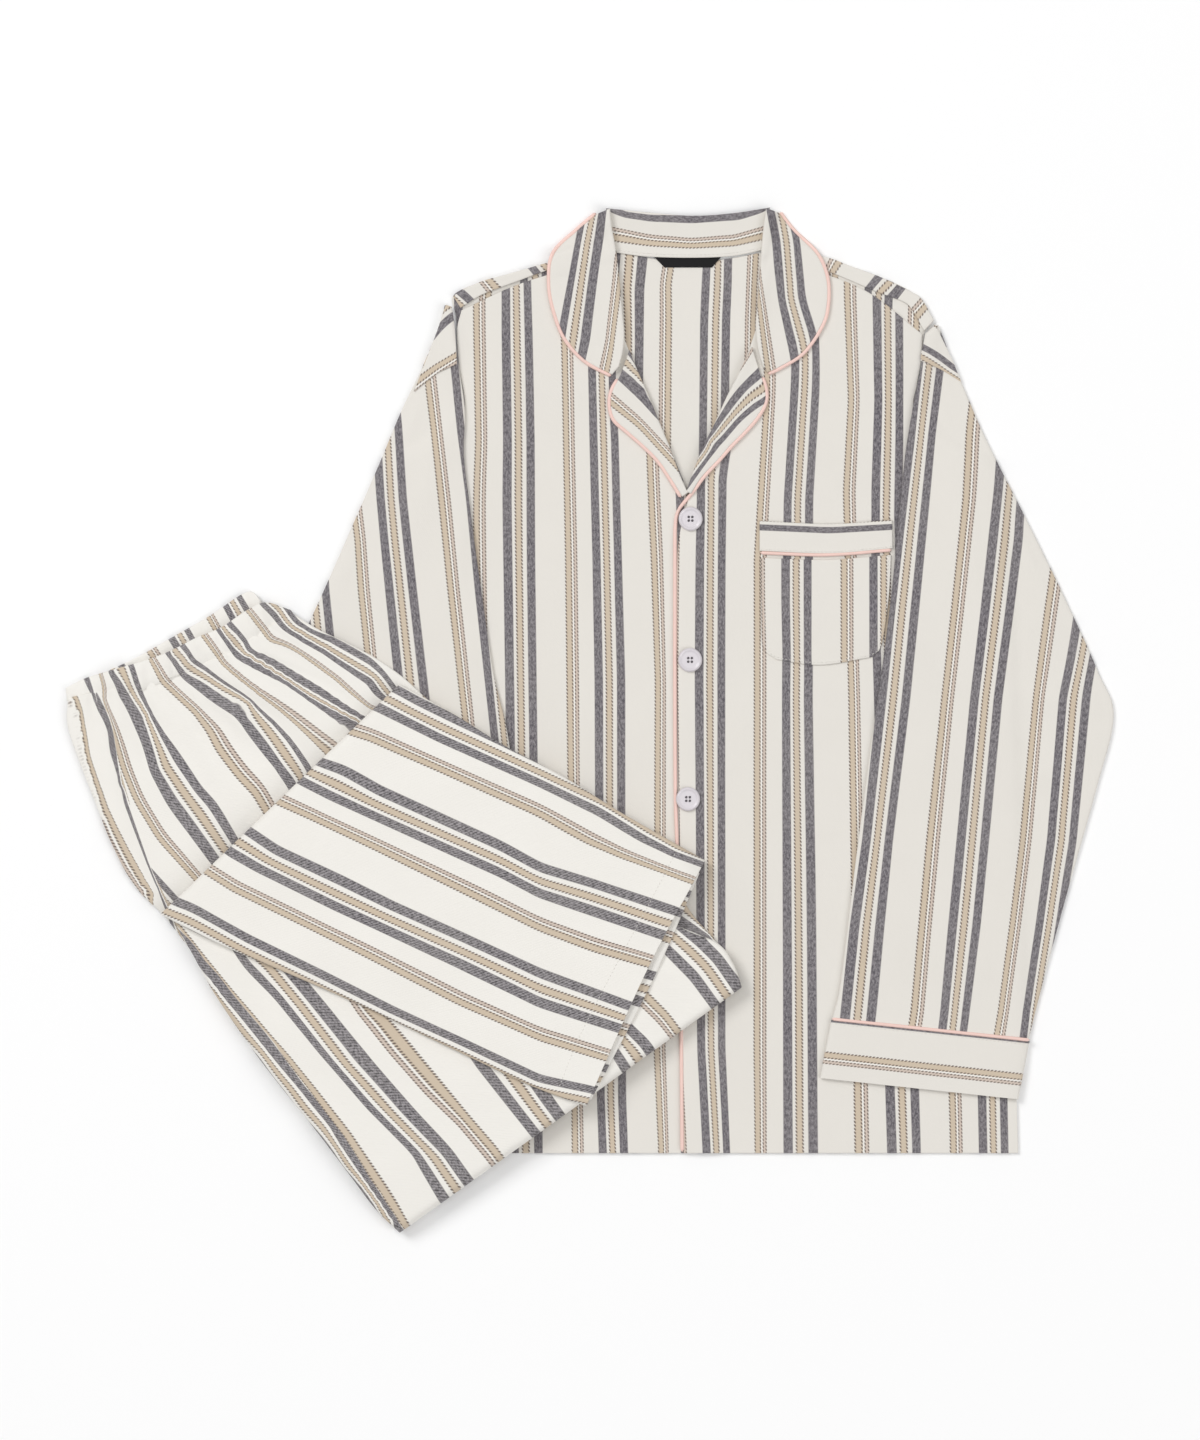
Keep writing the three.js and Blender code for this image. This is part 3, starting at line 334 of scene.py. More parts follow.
COLLAR_BACK_GUIDES = guides(
    (WIDE, 0, 606, 206, 622, 214.5, 650, 218.4, 692, 219.6, 740, 216.5, 760, 210, 770, 204),
    (THIN, -1, 611.8, 228.6, 650, 236.5, 692, 240, 735, 236.5, 765.4, 227.7),
    (PAIR, -1, 611.8, 237, 650, 243, 692, 245.7, 735, 243, 765, 235.7),
)
LAPEL_LEFT_GUIDES = guides(
    (NARROW, 0, 624, 343, 635, 361, 650, 381),
    (TAN, 0, 620, 356, 632, 368, 648, 385),
    (WIDE, 0, 616, 372, 629, 384, 640, 395, 655, 413),
    (THIN, -1, 611, 394, 626, 407, 640, 419, 668, 449),
    (PAIR, -1, 609, 401, 624, 413, 640, 426, 660, 448),
)
LAPEL_RIGHT_GUIDES = guides(
    (THIN, -1, 755, 345, 747, 358, 738, 372),
    (WIDE, 0, 760, 372, 747, 383, 733, 400, 716, 426, 700, 452),
    (TAN, 0, 763, 389, 750, 398, 736, 412, 709.6, 443),
    (NARROW, 0, 765, 400, 751, 409, 738, 421, 715, 448, 694, 477),
)
POCKET_GUIDES = guides(
    (WIDE, 0, 785.5, 565, 785.5, 600, 786.5, 655),
    (NARROW, 0, 807.5, 565, 807.5, 655),
    (PAIR, 0, 844.3, 565, 844.3, 655),
    (WIDE, 1, 873.3, 565, 873.3, 655),
)
POCKET_BAND_GUIDES = guides(
    (NARROW, 0, 760, 527.5, 830, 530.5, 892, 527),
    (PAIR, 0, 760, 556, 830, 559, 892, 555),
)
CUFF_RIGHT_GUIDES = guides(
    (NARROW, 0, 832, 1018, 1029, 1039),
    (PAIR, 0, 824.4, 1054.7, 1019.6, 1076.6),
    (WIDE, 1, 819, 1082.4, 1018, 1104),
)
CUFF_LEFT_GUIDES = guides(
    (NARROW, 0, 548, 1018, 351, 1039),
    (PAIR, 0, 555.6, 1054.7, 360.4, 1076.6),
    (WIDE, 1, 561, 1082.4, 362, 1104),
)
UPPER_GUIDES = guides(
    (-66.2, 0, 67, 695, 76, 683),
    (-65.6, 0, 74, 703, 79, 694, 83, 684),
    (NARROW, -1, 87, 677, 92, 690, 97, 704),
    (PAIR, -1, 104, 700, 113, 728, 124, 768, 137, 800, 160, 838, 194, 876),
    (WIDE, 0, 111, 672, 127, 697, 135.5, 714, 147, 743, 155, 771, 172, 802, 190, 826, 215, 861),
    (TAN, 0, 122, 668, 133, 693, 146, 712, 157, 740, 167, 767, 183, 790, 200, 813, 228, 853),
    (NARROW, 0, 132, 666, 141, 693, 150, 712, 163, 735, 180, 761, 198, 788, 214, 806, 235, 841),
    (PAIR, 0, 152, 661, 163, 681, 196, 712, 210, 730, 221, 750, 239, 774, 256, 792, 268, 812),
    (DARK_START, 1, 170, 659, 183, 679, 196, 689, 211, 701, 225, 710, 238, 718.5, 244, 727.5, 249, 735, 262,
     752, 275, 768, 287, 786),
    (DARK_END, 1, 172.6, 656, 187, 674, 202, 681.6, 217, 692, 231, 702, 242.7, 710, 248, 718.5, 257, 729,
     269.5, 745, 282, 763, 295, 780),
    (TAN, 1, 176, 651, 193, 669, 208, 678, 223.6, 688, 239, 696, 249, 703, 257, 715, 269.5, 731, 282, 749,
     295, 767, 301, 777),
    (NARROW, 1, 186.6, 650, 194, 661),
    (NARROW, 1, 264.4, 713.5, 276, 724, 288.6, 738, 299, 752, 309, 768),
    (PAIR, 1, 204.4, 637, 214.6, 651, 225, 666, 241.4, 680, 259, 694, 278.4, 708, 297.6, 724, 313, 738, 328,
     752),
    (THIN, 1, 231, 666, 246.5, 679, 262, 690.6, 278.4, 702, 297.6, 716, 317, 730, 336, 744),
    (DARK_START, 2, 217, 631, 226, 643.4, 235, 657.4, 249, 666.3, 267, 675.3, 285, 684.2, 304, 697, 323,
     711, 348.6, 731),
    (DARK_END, 2, 220, 628, 231, 644.6, 241, 653.6, 254, 660, 272, 671, 287.3, 681, 305.2, 694, 320.5, 703,
     338.4, 712, 357.5, 722),
    (NARROW_START, 2, 229, 627, 241.4, 638.3, 248, 651, 251.6, 655, 267, 664, 285, 675, 304, 686.7, 323,
     698, 342, 710, 360, 720),
    (NARROW_END, 2, 234, 624, 246.5, 638.3, 251.6, 648.5, 269.5, 656, 285, 665, 304, 676.5, 323, 688, 342,
     701, 366, 716),
    (PAIR, 2, 251.6, 615, 262, 629, 272, 641, 285, 644.6, 297.6, 651, 317, 665, 336, 679, 355, 696, 369,
     707),
    (WIDE, 3, 264, 605, 274.6, 615, 283.5, 627, 304, 641, 323, 651, 342, 664, 370, 681.6),
    (TAN, 3, 272, 602.6, 281, 611.5, 290, 625.5, 304, 633, 323, 644.6, 342, 656, 370, 672.7),
    (NARROW, 3, 285.7, 607, 297, 622, 314, 633, 329, 638, 348.6, 648.5, 370, 661),
    (WIDE, 6, 560, 880, 640, 900, 677, 920, 700, 932, 718, 943),
    (TAN, 6, 600, 870, 655, 890, 686, 908, 704, 926, 716, 940),
    (WIDE, 0, 330, 1010, 420, 1120),
)
BACK_EDGE_GUIDES = guides(
    (64.4, 0, 64, 700, 69, 735, 78, 764, 88, 792, 97, 815),
    (64.6, 0, 74, 700, 79, 728, 86, 760, 94, 786),
    (67.6, 0, 107, 839, 126, 869, 140, 888),
    (PAIR_END, 0, 81, 712, 88, 757, 96.5, 785, 103.5, 808, 112, 829, 123, 852, 134, 873, 147, 895),
    (PAIR_START, 0, 83, 712, 90.5, 757, 99.5, 784, 107.5, 806, 118, 828, 129.5, 850, 142, 872, 154, 893),
    (NARROW_END, 0, 86.5, 679, 96, 706, 101, 716, 107.5, 727, 110.3, 752, 116, 769, 121, 787),
    (NARROW_START, 0, 89.5, 678, 102.5, 702, 108.5, 715.5, 112.3, 727, 116, 746, 118.5, 767, 121.8, 786),
    (NARROW, 0, 126, 802, 133, 822, 149, 866, 168, 912),
)
TURNED_GUIDES = guides(
    (PAIR_START, 0, 205, 955, 223.5, 977.6, 236, 992.6, 253, 1012, 270.5, 1032.7, 287.7, 1052, 314.4, 1085,
     331.6, 1107, 349, 1129, 372, 1163, 385.6, 1183, 397, 1201, 409, 1223),
    (PAIR_END, 0, 288, 1060, 318, 1100, 345, 1136, 366, 1169, 389, 1204.6, 400, 1221),
    (NARROW, 0, 238.7, 951, 248, 965, 277.7, 994.8, 323.7, 1052, 369.6, 1105, 415.5, 1151, 445, 1199),
    (TAN, 0, 268.6, 965, 300.7, 1004, 346.6, 1063.7, 392.5, 1114, 433.8, 1155.5, 454.5, 1185),
    (WIDE, 0, 300.7, 981, 323.7, 1008.6, 369.6, 1063.7, 415.5, 1116.5, 447.6, 1151, 468, 1180),
    (THIN, -1, 360, 1011, 392.5, 1052, 427, 1091, 460, 1123, 487, 1155),
    (PAIR, -1, 383, 1020, 415.5, 1059, 460, 1109.6, 493, 1148),
    (NARROW, -1, 480, 1062, 520, 1113, 542, 1141),
    (WIDE, -1, 515, 1050, 545, 1095, 566, 1124),
    (NARROW, -2, 590, 1015, 616.8, 1054, 631, 1077),
    (WIDE, -2, 605, 1002, 629, 1027.5, 647, 1045, 656, 1061),
    (PAIR, -3, 647, 997, 665, 1015, 681, 1036),
    (NARROW, -3, 668.6, 950.7, 693.6, 975.7, 716, 1006),
    (WIDE, -3, 681, 925.7, 700.7, 941.8, 718.6, 959.6, 738, 988),
)
TURNED_EDGE_GUIDES = guides(
    (17.6, 0, 176.4, 941, 190, 959, 201.6, 974, 214.3, 987, 230.3, 1008.6, 247.6, 1030.4, 264.8, 1050, 280,
     1070, 293.8, 1086.4, 308.7, 1106, 324.8, 1124.3, 337.4, 1142.6, 349, 1161, 362.6, 1178, 377.6, 1199,
     390, 1218),
    (NARROW_START, 0, 168.4, 923.7, 182, 941, 196, 959, 209.7, 977.6, 223.5, 996, 239.5, 1014.4, 255.6,
     1034, 271.7, 1054.5, 287, 1072.6, 300.7, 1088.7, 314.4, 1106, 329.4, 1124, 341, 1144, 353.5, 1162, 367,
     1181.7, 379, 1199, 389, 1214, 395, 1225),
)
TURNED_EDGE_GUIDES.append((NARROW_END, TURNED_SEAM))
LOWER_GUIDES = guides(
    (NARROW, 1, 398, 690, 420, 702, 480, 731, 540, 760, 600, 788, 660, 820),
    (WIDE, 1, 380, 708, 440, 738, 540, 783, 600, 812, 641.8, 838, 674, 854, 704, 865),
    (PAIR, 0, 353, 732, 372, 738, 440, 768, 540, 813, 588, 840, 622, 855, 693.6, 882),
    (NARROW, 0, 322, 762, 345, 770, 380, 790, 500, 845, 540, 866.8, 593.6, 882.9, 675.7, 910.5),
    (WIDE, 0, 303, 781, 330, 795, 380, 818, 500, 872, 540, 892.7, 593.6, 910.5, 663, 934.6),
    (PAIR, -1, 281, 802, 310, 815, 380, 848, 470, 892, 540, 926.6, 593.6, 947, 649, 963),
    (NARROW, -1, 250, 831, 278, 850, 342, 880, 392.5, 905, 460, 935, 540, 972, 593.6, 991.8, 629, 1005),
    (WIDE, -1, 232, 852, 260, 868, 335, 905, 415.5, 942, 460, 962.6, 540, 1001.6, 620, 1027.5),
    (PAIR, -2, 208, 871, 235, 888, 300.7, 920, 369.6, 954, 460, 1000.5, 540, 1036, 604, 1056),
    (NARROW, -2, 172, 899, 195, 908, 250, 938.5, 323.7, 974, 392.5, 1008.6, 460, 1039.5, 540, 1077.5, 590,
     1088),
)
FAR_HEM_GUIDES = guides(
    (NARROW, 0, 660, 885, 700, 897),
    (WIDE, 0, 650, 902, 690, 916),
    (NARROW, -1, 620, 966, 660, 977),
    (WIDE, -1, 605, 990, 650, 1004),
    (NARROW, -2, 575, 1058, 615, 1070),
    (WIDE, -2, 565, 1080, 605, 1092),
)
WAIST_BACK_GUIDES = guides(
    (NARROW, 0, 116, 658, 140, 690),
    (WIDE, 1, 173, 640, 186, 662),
    (NARROW, 1, 186, 628, 200, 652),
    (WIDE, 2, 226, 606, 238, 628),
    (NARROW, 2, 240, 598, 252, 618),
)

# Bands of the stripes in steps from the start of a repeat, in the order that they are woven
BAND_EDGES = [
    ("dark", DARK_START),
    ("cream", DARK_END),
    ("tan", 11.8),
    ("cream", 17.4),
    ("dark", NARROW_START),
    ("cream", NARROW_END),
    ("tan", PAIR_START),
    ("white", 63.9),
    ("thin", 65.7),
    ("cream", 69.5),
]
DOTTED_BANDS = ((11.0, 12.6), (16.6, 18.2), (56.9, 58.5), (62.6, 64.1), (65.5, 66.8), (68.4, 69.7))
DARK_BANDS = ((DARK_START, DARK_END), (NARROW_START, NARROW_END))
REPEAT_START = 8.0

# Soft creases: from x0, y0 to x1, y1 in steps, then height (troughs below 0) and half width in millimetres
FRONT_CREASES = [
    (480, 330, 520, 470, 0.9, 12), (560, 620, 600, 900, 0.7, 22), (640, 560, 655, 760, 0.6, 16),
    (730, 640, 742, 1000, 0.8, 24), (800, 700, 830, 1100, 0.8, 26), (900, 340, 880, 470, 0.9, 12),
    (850, 400, 835, 500, 0.5, 16), (950, 560, 960, 760, 0.6, 20), (600, 1000, 560, 1140, 0.6, 20),
]
SLEEVE_RIGHT_CREASES = [
    (930, 440, 985, 640, 1.3, 13), (1000, 500, 1060, 640, 1.2, 11), (1105, 705, 1010, 690, 1.3, 10),
    (1095, 740, 985, 800, 1.1, 12), (900, 620, 930, 780, 1.0, 13), (880, 850, 900, 1000, 0.9, 12),
    (985, 860, 965, 1020, 1.0, 14), (935, 400, 960, 470, 0.9, 8),
]
SLEEVE_LEFT_CREASES = [
    (440, 430, 400, 560, 1.2, 12), (470, 470, 440, 620, 1.1, 12), (375, 480, 330, 590, 1.1, 9),
    (420, 390, 400, 450, 0.9, 8),
]
WAIST_FOLDS = [
    (128, 705, 176, 800, 1.6, 7), (165, 692, 225, 790, 2.2, 8), (200, 684, 262, 745, 2.0, 7),
    (236, 668, 305, 735, 1.6, 6), (262, 650, 340, 700, 1.4, 6), (98, 715, 128, 830, 1.2, 6),
    (112, 706, 122, 745, 1.2, 4), (150, 694, 168, 730, 1.2, 4), (186, 682, 206, 712, 1.3, 4),
    (216, 668, 240, 698, 1.2, 4), (246, 652, 272, 680, 1.2, 4), (276, 634, 306, 656, 1.1, 4),
    (202, 677, 276, 722, -2.2, 5), (256, 655, 350, 700, -1.8, 4), (285, 632, 352, 668, -1.6, 4),
    (130, 712, 150, 770, -1.4, 5), (104, 730, 132, 812, -1.8, 5), (232, 704, 246, 742, 1.6, 6),
    (222, 770, 262, 800, 1.2, 12), (196, 720, 214, 744, -1.2, 9),
]
TURNED_CREASES = [
    (300, 1020, 400, 1150, 1.0, 12), (420, 1050, 520, 1140, 0.9, 14), (640, 960, 700, 1020, 1.0, 10),
    (220, 960, 300, 1060, 0.8, 9),
]
LOWER_CREASES = [
    (300, 830, 480, 905, 0.9, 16), (420, 760, 620, 850, 0.8, 18), (330, 930, 520, 1020, 0.8, 16),
    (560, 930, 630, 960, 0.6, 14),
]

# The tables of the pieces that come in a left and a right one, and the way out from a piped edge
SIDES = {"left": 1, "right": -1}
SHOULDERS = {
    "left": (SHOULDER_LEFT_ROWS, SHOULDER_LEFT_GUIDES),
    "right": (SHOULDER_RIGHT_ROWS, SHOULDER_RIGHT_GUIDES),
}
FRONTS = {
    "left": (FRONT_LEFT_ROWS, FRONT_LEFT_GUIDES, ("back",), 5),
    "right": (FRONT_RIGHT_ROWS, FRONT_RIGHT_GUIDES, ("back", "front_left"), 6),
}
SLEEVES = {
    "left": (SLEEVE_LEFT_ROWS, SLEEVE_LEFT_GUIDES, SLEEVE_LEFT_CREASES),
    "right": (SLEEVE_RIGHT_ROWS, SLEEVE_RIGHT_GUIDES, SLEEVE_RIGHT_CREASES),
}
HEADS = {"left": (HEAD_LEFT_ROWS, HEAD_LEFT_GUIDES), "right": (HEAD_RIGHT_ROWS, HEAD_RIGHT_GUIDES)}
CUFFS = {"left": (CUFF_LEFT_ROWS, CUFF_LEFT_GUIDES), "right": (CUFF_RIGHT_ROWS, CUFF_RIGHT_GUIDES)}
LEAVES = {"left": (LEAF_LEFT_ROWS, LEAF_LEFT_GUIDES), "right": (LEAF_RIGHT_ROWS, LEAF_RIGHT_GUIDES)}
LAPELS = {"left": (LAPEL_LEFT_ROWS, LAPEL_LEFT_GUIDES), "right": (LAPEL_RIGHT_ROWS, LAPEL_RIGHT_GUIDES)}

# The pieces of the top that the trousers lie on
TOP_PIECES = (
    "back", "front_left", "front_right", "shoulder_left", "shoulder_right", "sleeve_left", "sleeve_right",
    "cuff_left", "cuff_right",
)

# The plan's raster of heights, which every laid piece is drawn into
CELL = 0.0015
RASTER = 600
RASTER_HALF = CELL * RASTER / 2
laid = {}


def to_metres(points):
    """Steps to metres: x = (px - centre) * STEP and y = (centre - py) * STEP."""
    offset = (np.asarray(points, float) - PLAN_CENTRE) * STEP
    return offset * np.array([1.0, -1.0])


def cubic(p0, p1, p2, p3, f):
    """Cubic from p1 to p2 at share f, with slopes of half of p2 - p0 and of p3 - p1 at its ends."""
    bend = (2 * p0 - 5 * p1 + 4 * p2 - p3) * f**2
    return 0.5 * (2 * p1 + (p2 - p0) * f + bend + (3 * p1 - p0 - 3 * p2 + p3) * f**3)


def curve(points, t):
    """Smooth curve through the points: cubic between neighbours, with the end slopes of the outer chords."""
    points = np.asarray(points, float)
    last = len(points) - 1
    t = np.asarray(t, float)
    if last == 1:
        return points[0] + (points[1] - points[0]) * t[..., None]
    ends = np.vstack([2 * points[0] - points[1], points, 2 * points[-1] - points[-2]])
    i = np.minimum((t * last).astype(int), last - 1)
    f = (t * last - i)[..., None]
    return cubic(ends[i], ends[i + 1], ends[i + 2], ends[i + 3], f)


def smooth_line(points, count):
    """A number of plan points in metres along the smooth curve through points in steps."""
    return curve(to_metres(points), np.linspace(0, 1, count))


def plan_grid(lines, u, v):
    """Plan of a piece: edges a, middle and b are curves along v, with a curve through the three across u."""
    lines = to_metres(lines)
    a, m, b = (curve(lines[:, k], v)[:, None, :] for k in range(3))
    u = np.broadcast_to(u, (len(v), np.shape(u)[-1]))[..., None]
    before, after = 2 * a - m, 2 * b - m
    first = u < 0.5
    f = np.where(first, u * 2, u * 2 - 1)
    p0, p1 = np.where(first, before, a), np.where(first, a, m)
    p2, p3 = np.where(first, m, b), np.where(first, b, after)
    return cubic(p0, p1, p2, p3, f)


def shares(length, rim, cell):
    """Shares from 0 to 1, an even step apart in the middle and close together in the rim at either end."""
    rim = min(rim / length, 0.2)
    edge = rim * np.array([0, 0.06, 0.22, 0.5])
    middle = np.linspace(rim, 1 - rim, max(int(length * (1 - 2 * rim) / cell), 4) + 1)
    return np.concatenate([edge, middle, 1 - edge[::-1]])


def rounded(distance, rim):
    """Quarter of an ellipse: 0 at the edge, and 1 from one rim's width in."""
    share = np.clip(distance / rim, 0, 1)
    return np.sqrt(np.clip(1 - (1 - share) ** 2, 0, 1))


def sample(field, points):
    """The raster's value at plan points, linear between its cells."""
    cells = (points + RASTER_HALF) / CELL
    x = np.clip(cells[..., 0], 0, RASTER - 1.001)
    y = np.clip(cells[..., 1], 0, RASTER - 1.001)
    i, j = x.astype(int), y.astype(int)
    fx, fy = x - i, y - j
    low = field[j, i] * (1 - fx) + field[j, i + 1] * fx
    high = field[j + 1, i] * (1 - fx) + field[j + 1, i + 1] * fx
    return low * (1 - fy) + high * fy


def shifted(field, step, axis):
    """The raster moved by a number of cells, with bare floor coming in."""
    moved = np.zeros_like(field)
    goal = slice(max(step, 0), RASTER + min(step, 0))
    source = slice(max(-step, 0), RASTER - max(step, 0))
    if axis == 0:
        moved[goal] = field[source]
    else:
        moved[:, goal] = field[:, source]
    return moved


def draped(field, reach):
    """Cloth over a raster: the highest value within half the reach, averaged over the other half."""
    radius = max(int(round(reach / CELL / 2)), 1)
    for axis in (0, 1):
        field = np.max([shifted(field, step, axis) for step in range(-radius, radius + 1)], axis=0)
    half = max(radius // 2, 1)
    for _ in range(2):
        for axis in (0, 1):
            total = sum(shifted(field, step, axis) for step in range(-half, half + 1))
            field = total / (2 * half + 1)
    return field


def support(names, reach):
    """The upper faces of the named pieces as one raster, draped; with reach 0, as they are."""
    field = np.zeros((RASTER, RASTER), np.float32)
    for name in names:
        field = np.maximum(field, laid[name])
    return draped(field, reach) if reach else field


def keep_height(name, plan, top):
    """Draws a piece's upper face into its own raster, at three points for every cell of its grid."""
    field = np.zeros(RASTER * RASTER, np.float32)
    surface = np.dstack([plan, top])
    for axis in (0, 1):
        low = surface[:-1] if axis == 0 else surface[:, :-1]
        high = surface[1:] if axis == 0 else surface[:, 1:]
        parts = [low + (high - low) * f for f in (0, 1 / 3, 2 / 3)]
        stacked = np.stack(parts, axis=axis + 1)
        shape = (low.shape[0] * 3, low.shape[1], 3) if axis == 0 else (low.shape[0], low.shape[1] * 3, 3)
        surface = stacked.reshape(shape)
    points = surface.reshape(-1, 3)
    cells = np.clip(((points[:, :2] + RASTER_HALF) / CELL + 0.5).astype(int), 0, RASTER - 1)
    np.maximum.at(field, cells[:, 1] * RASTER + cells[:, 0], points[:, 2].astype(np.float32))
    laid[name] = field.reshape(RASTER, RASTER)


def creases_at(plan, creases):
    """Sum of soft ridges: each is height * exp(-(distance / half width) ** 2) from a slightly bowed line, and
    lower towards its two ends.
    """
    relief = np.zeros(plan.shape[:-1])
    for x0, y0, x1, y1, height, width in creases:
        start, end = to_metres([(x0, y0), (x1, y1)])
        along = end - start
        share = np.clip(((plan - start) @ along) / (along @ along), 0, 1)
        arch = np.sin(share * math.pi)
        side = np.array([-along[1], along[0]])
        nearest = start + share[..., None] * along + (arch * 0.04)[..., None] * side
        distance = np.linalg.norm(plan - nearest, axis=-1)
        relief += height / 1000 * np.exp(-((distance * 1000 / width) ** 2)) * (0.3 + 0.7 * arch)
    return relief


def waves_at(plan, height, length, seed):
    """Low uneven waves from 0 to about the height: the sum of five sine waves in seeded directions."""
    chance = np.random.default_rng(seed)
    total = np.zeros(plan.shape[:-1])
    for _ in range(5):
        angle, phase = chance.uniform(0, 2 * math.pi, 2)
        pace = 2 * math.pi / (length * chance.uniform(0.6, 1.6))
        total += np.sin((plan[..., 0] * math.cos(angle) + plan[..., 1] * math.sin(angle)) * pace + phase)
    return height * (0.5 + total / 7)


def stripe_field(lines):
    """Smooth surface through the guides: a plane plus the sum of weight * r ** 2 * log(r) from each point.

    It gives the function that turns plan points into the stripes' coordinates: repeats across, metres along.
    """
    places, values = [], []
    for value, points in lines:
        line = even_path(to_metres(points), GUIDE_STEP)
        places.append(line)
        values.append(np.full(len(line), value))
    places = np.vstack(places) * 10
    values = np.concatenate(values)
    centre = places.mean(axis=0)

    def kernel(points, others):
        """r ** 2 * log(r) between every two points."""
        gap = ((points[:, None] - others[None]) ** 2).sum(axis=-1)
        return 0.5 * gap * np.log(gap + 1e-12)

    count = len(places)
    plane = np.hstack([np.ones((count, 1)), places - centre])
    system = np.zeros((count + 3, count + 3))
    system[:count, :count] = kernel(places, places) + np.eye(count) * 1e-4
    system[:count, count:] = plane
    system[count:, :count] = plane.T
    weights = np.linalg.lstsq(system, np.concatenate([values, np.zeros(3)]), rcond=None)[0]
    slope = np.linalg.lstsq(plane, values, rcond=None)[0][1:]
    yarn = np.array([-slope[1], slope[0]]) / np.linalg.norm(slope)

    def coordinates(plan):
        """Repeats from the surface, and metres along the yarn, at plan points."""
        points = plan.reshape(-1, 2) * 10
        stripe = np.hstack([np.ones((len(points), 1)), points - centre]) @ weights[count:]
        for block in range(0, len(points), 8000):
            part = slice(block, block + 8000)
            stripe[part] += kernel(points[part], places) @ weights[:count]
        both = np.column_stack([(stripe + REPEAT_START) / REPEAT, plan.reshape(-1, 2) @ yarn])
        return both.reshape(plan.shape)

    return coordinates


def grid_faces(indices):
    """The four corners of every cell of a grid of vertex numbers, turning the same way."""
    corners = indices[:-1, :-1], indices[:-1, 1:], indices[1:, 1:], indices[1:, :-1]
    return np.stack([corner.ravel() for corner in corners], axis=1)


def make_mesh(name, points, faces, uv, material):
    """One smooth object of the given points and faces, with the stripes' coordinates at its corners."""
    used, numbers = np.unique(faces, return_inverse=True)
    mesh = bpy.data.meshes.new(name)
    mesh.from_pydata(points[used].tolist(), [], numbers.reshape(faces.shape).tolist())
    if uv is not None:
        layer = mesh.uv_layers.new(name="Stripes")
        layer.data.foreach_set("uv", uv.astype(np.float32).ravel())
    mesh.shade_smooth()
    mesh.materials.append(material)
    return link(name, mesh)


def link(name, data):
    """The mesh, light or camera as an object of the scene."""
    piece = bpy.data.objects.new(name, data)
    bpy.context.scene.collection.objects.link(piece)
    return piece


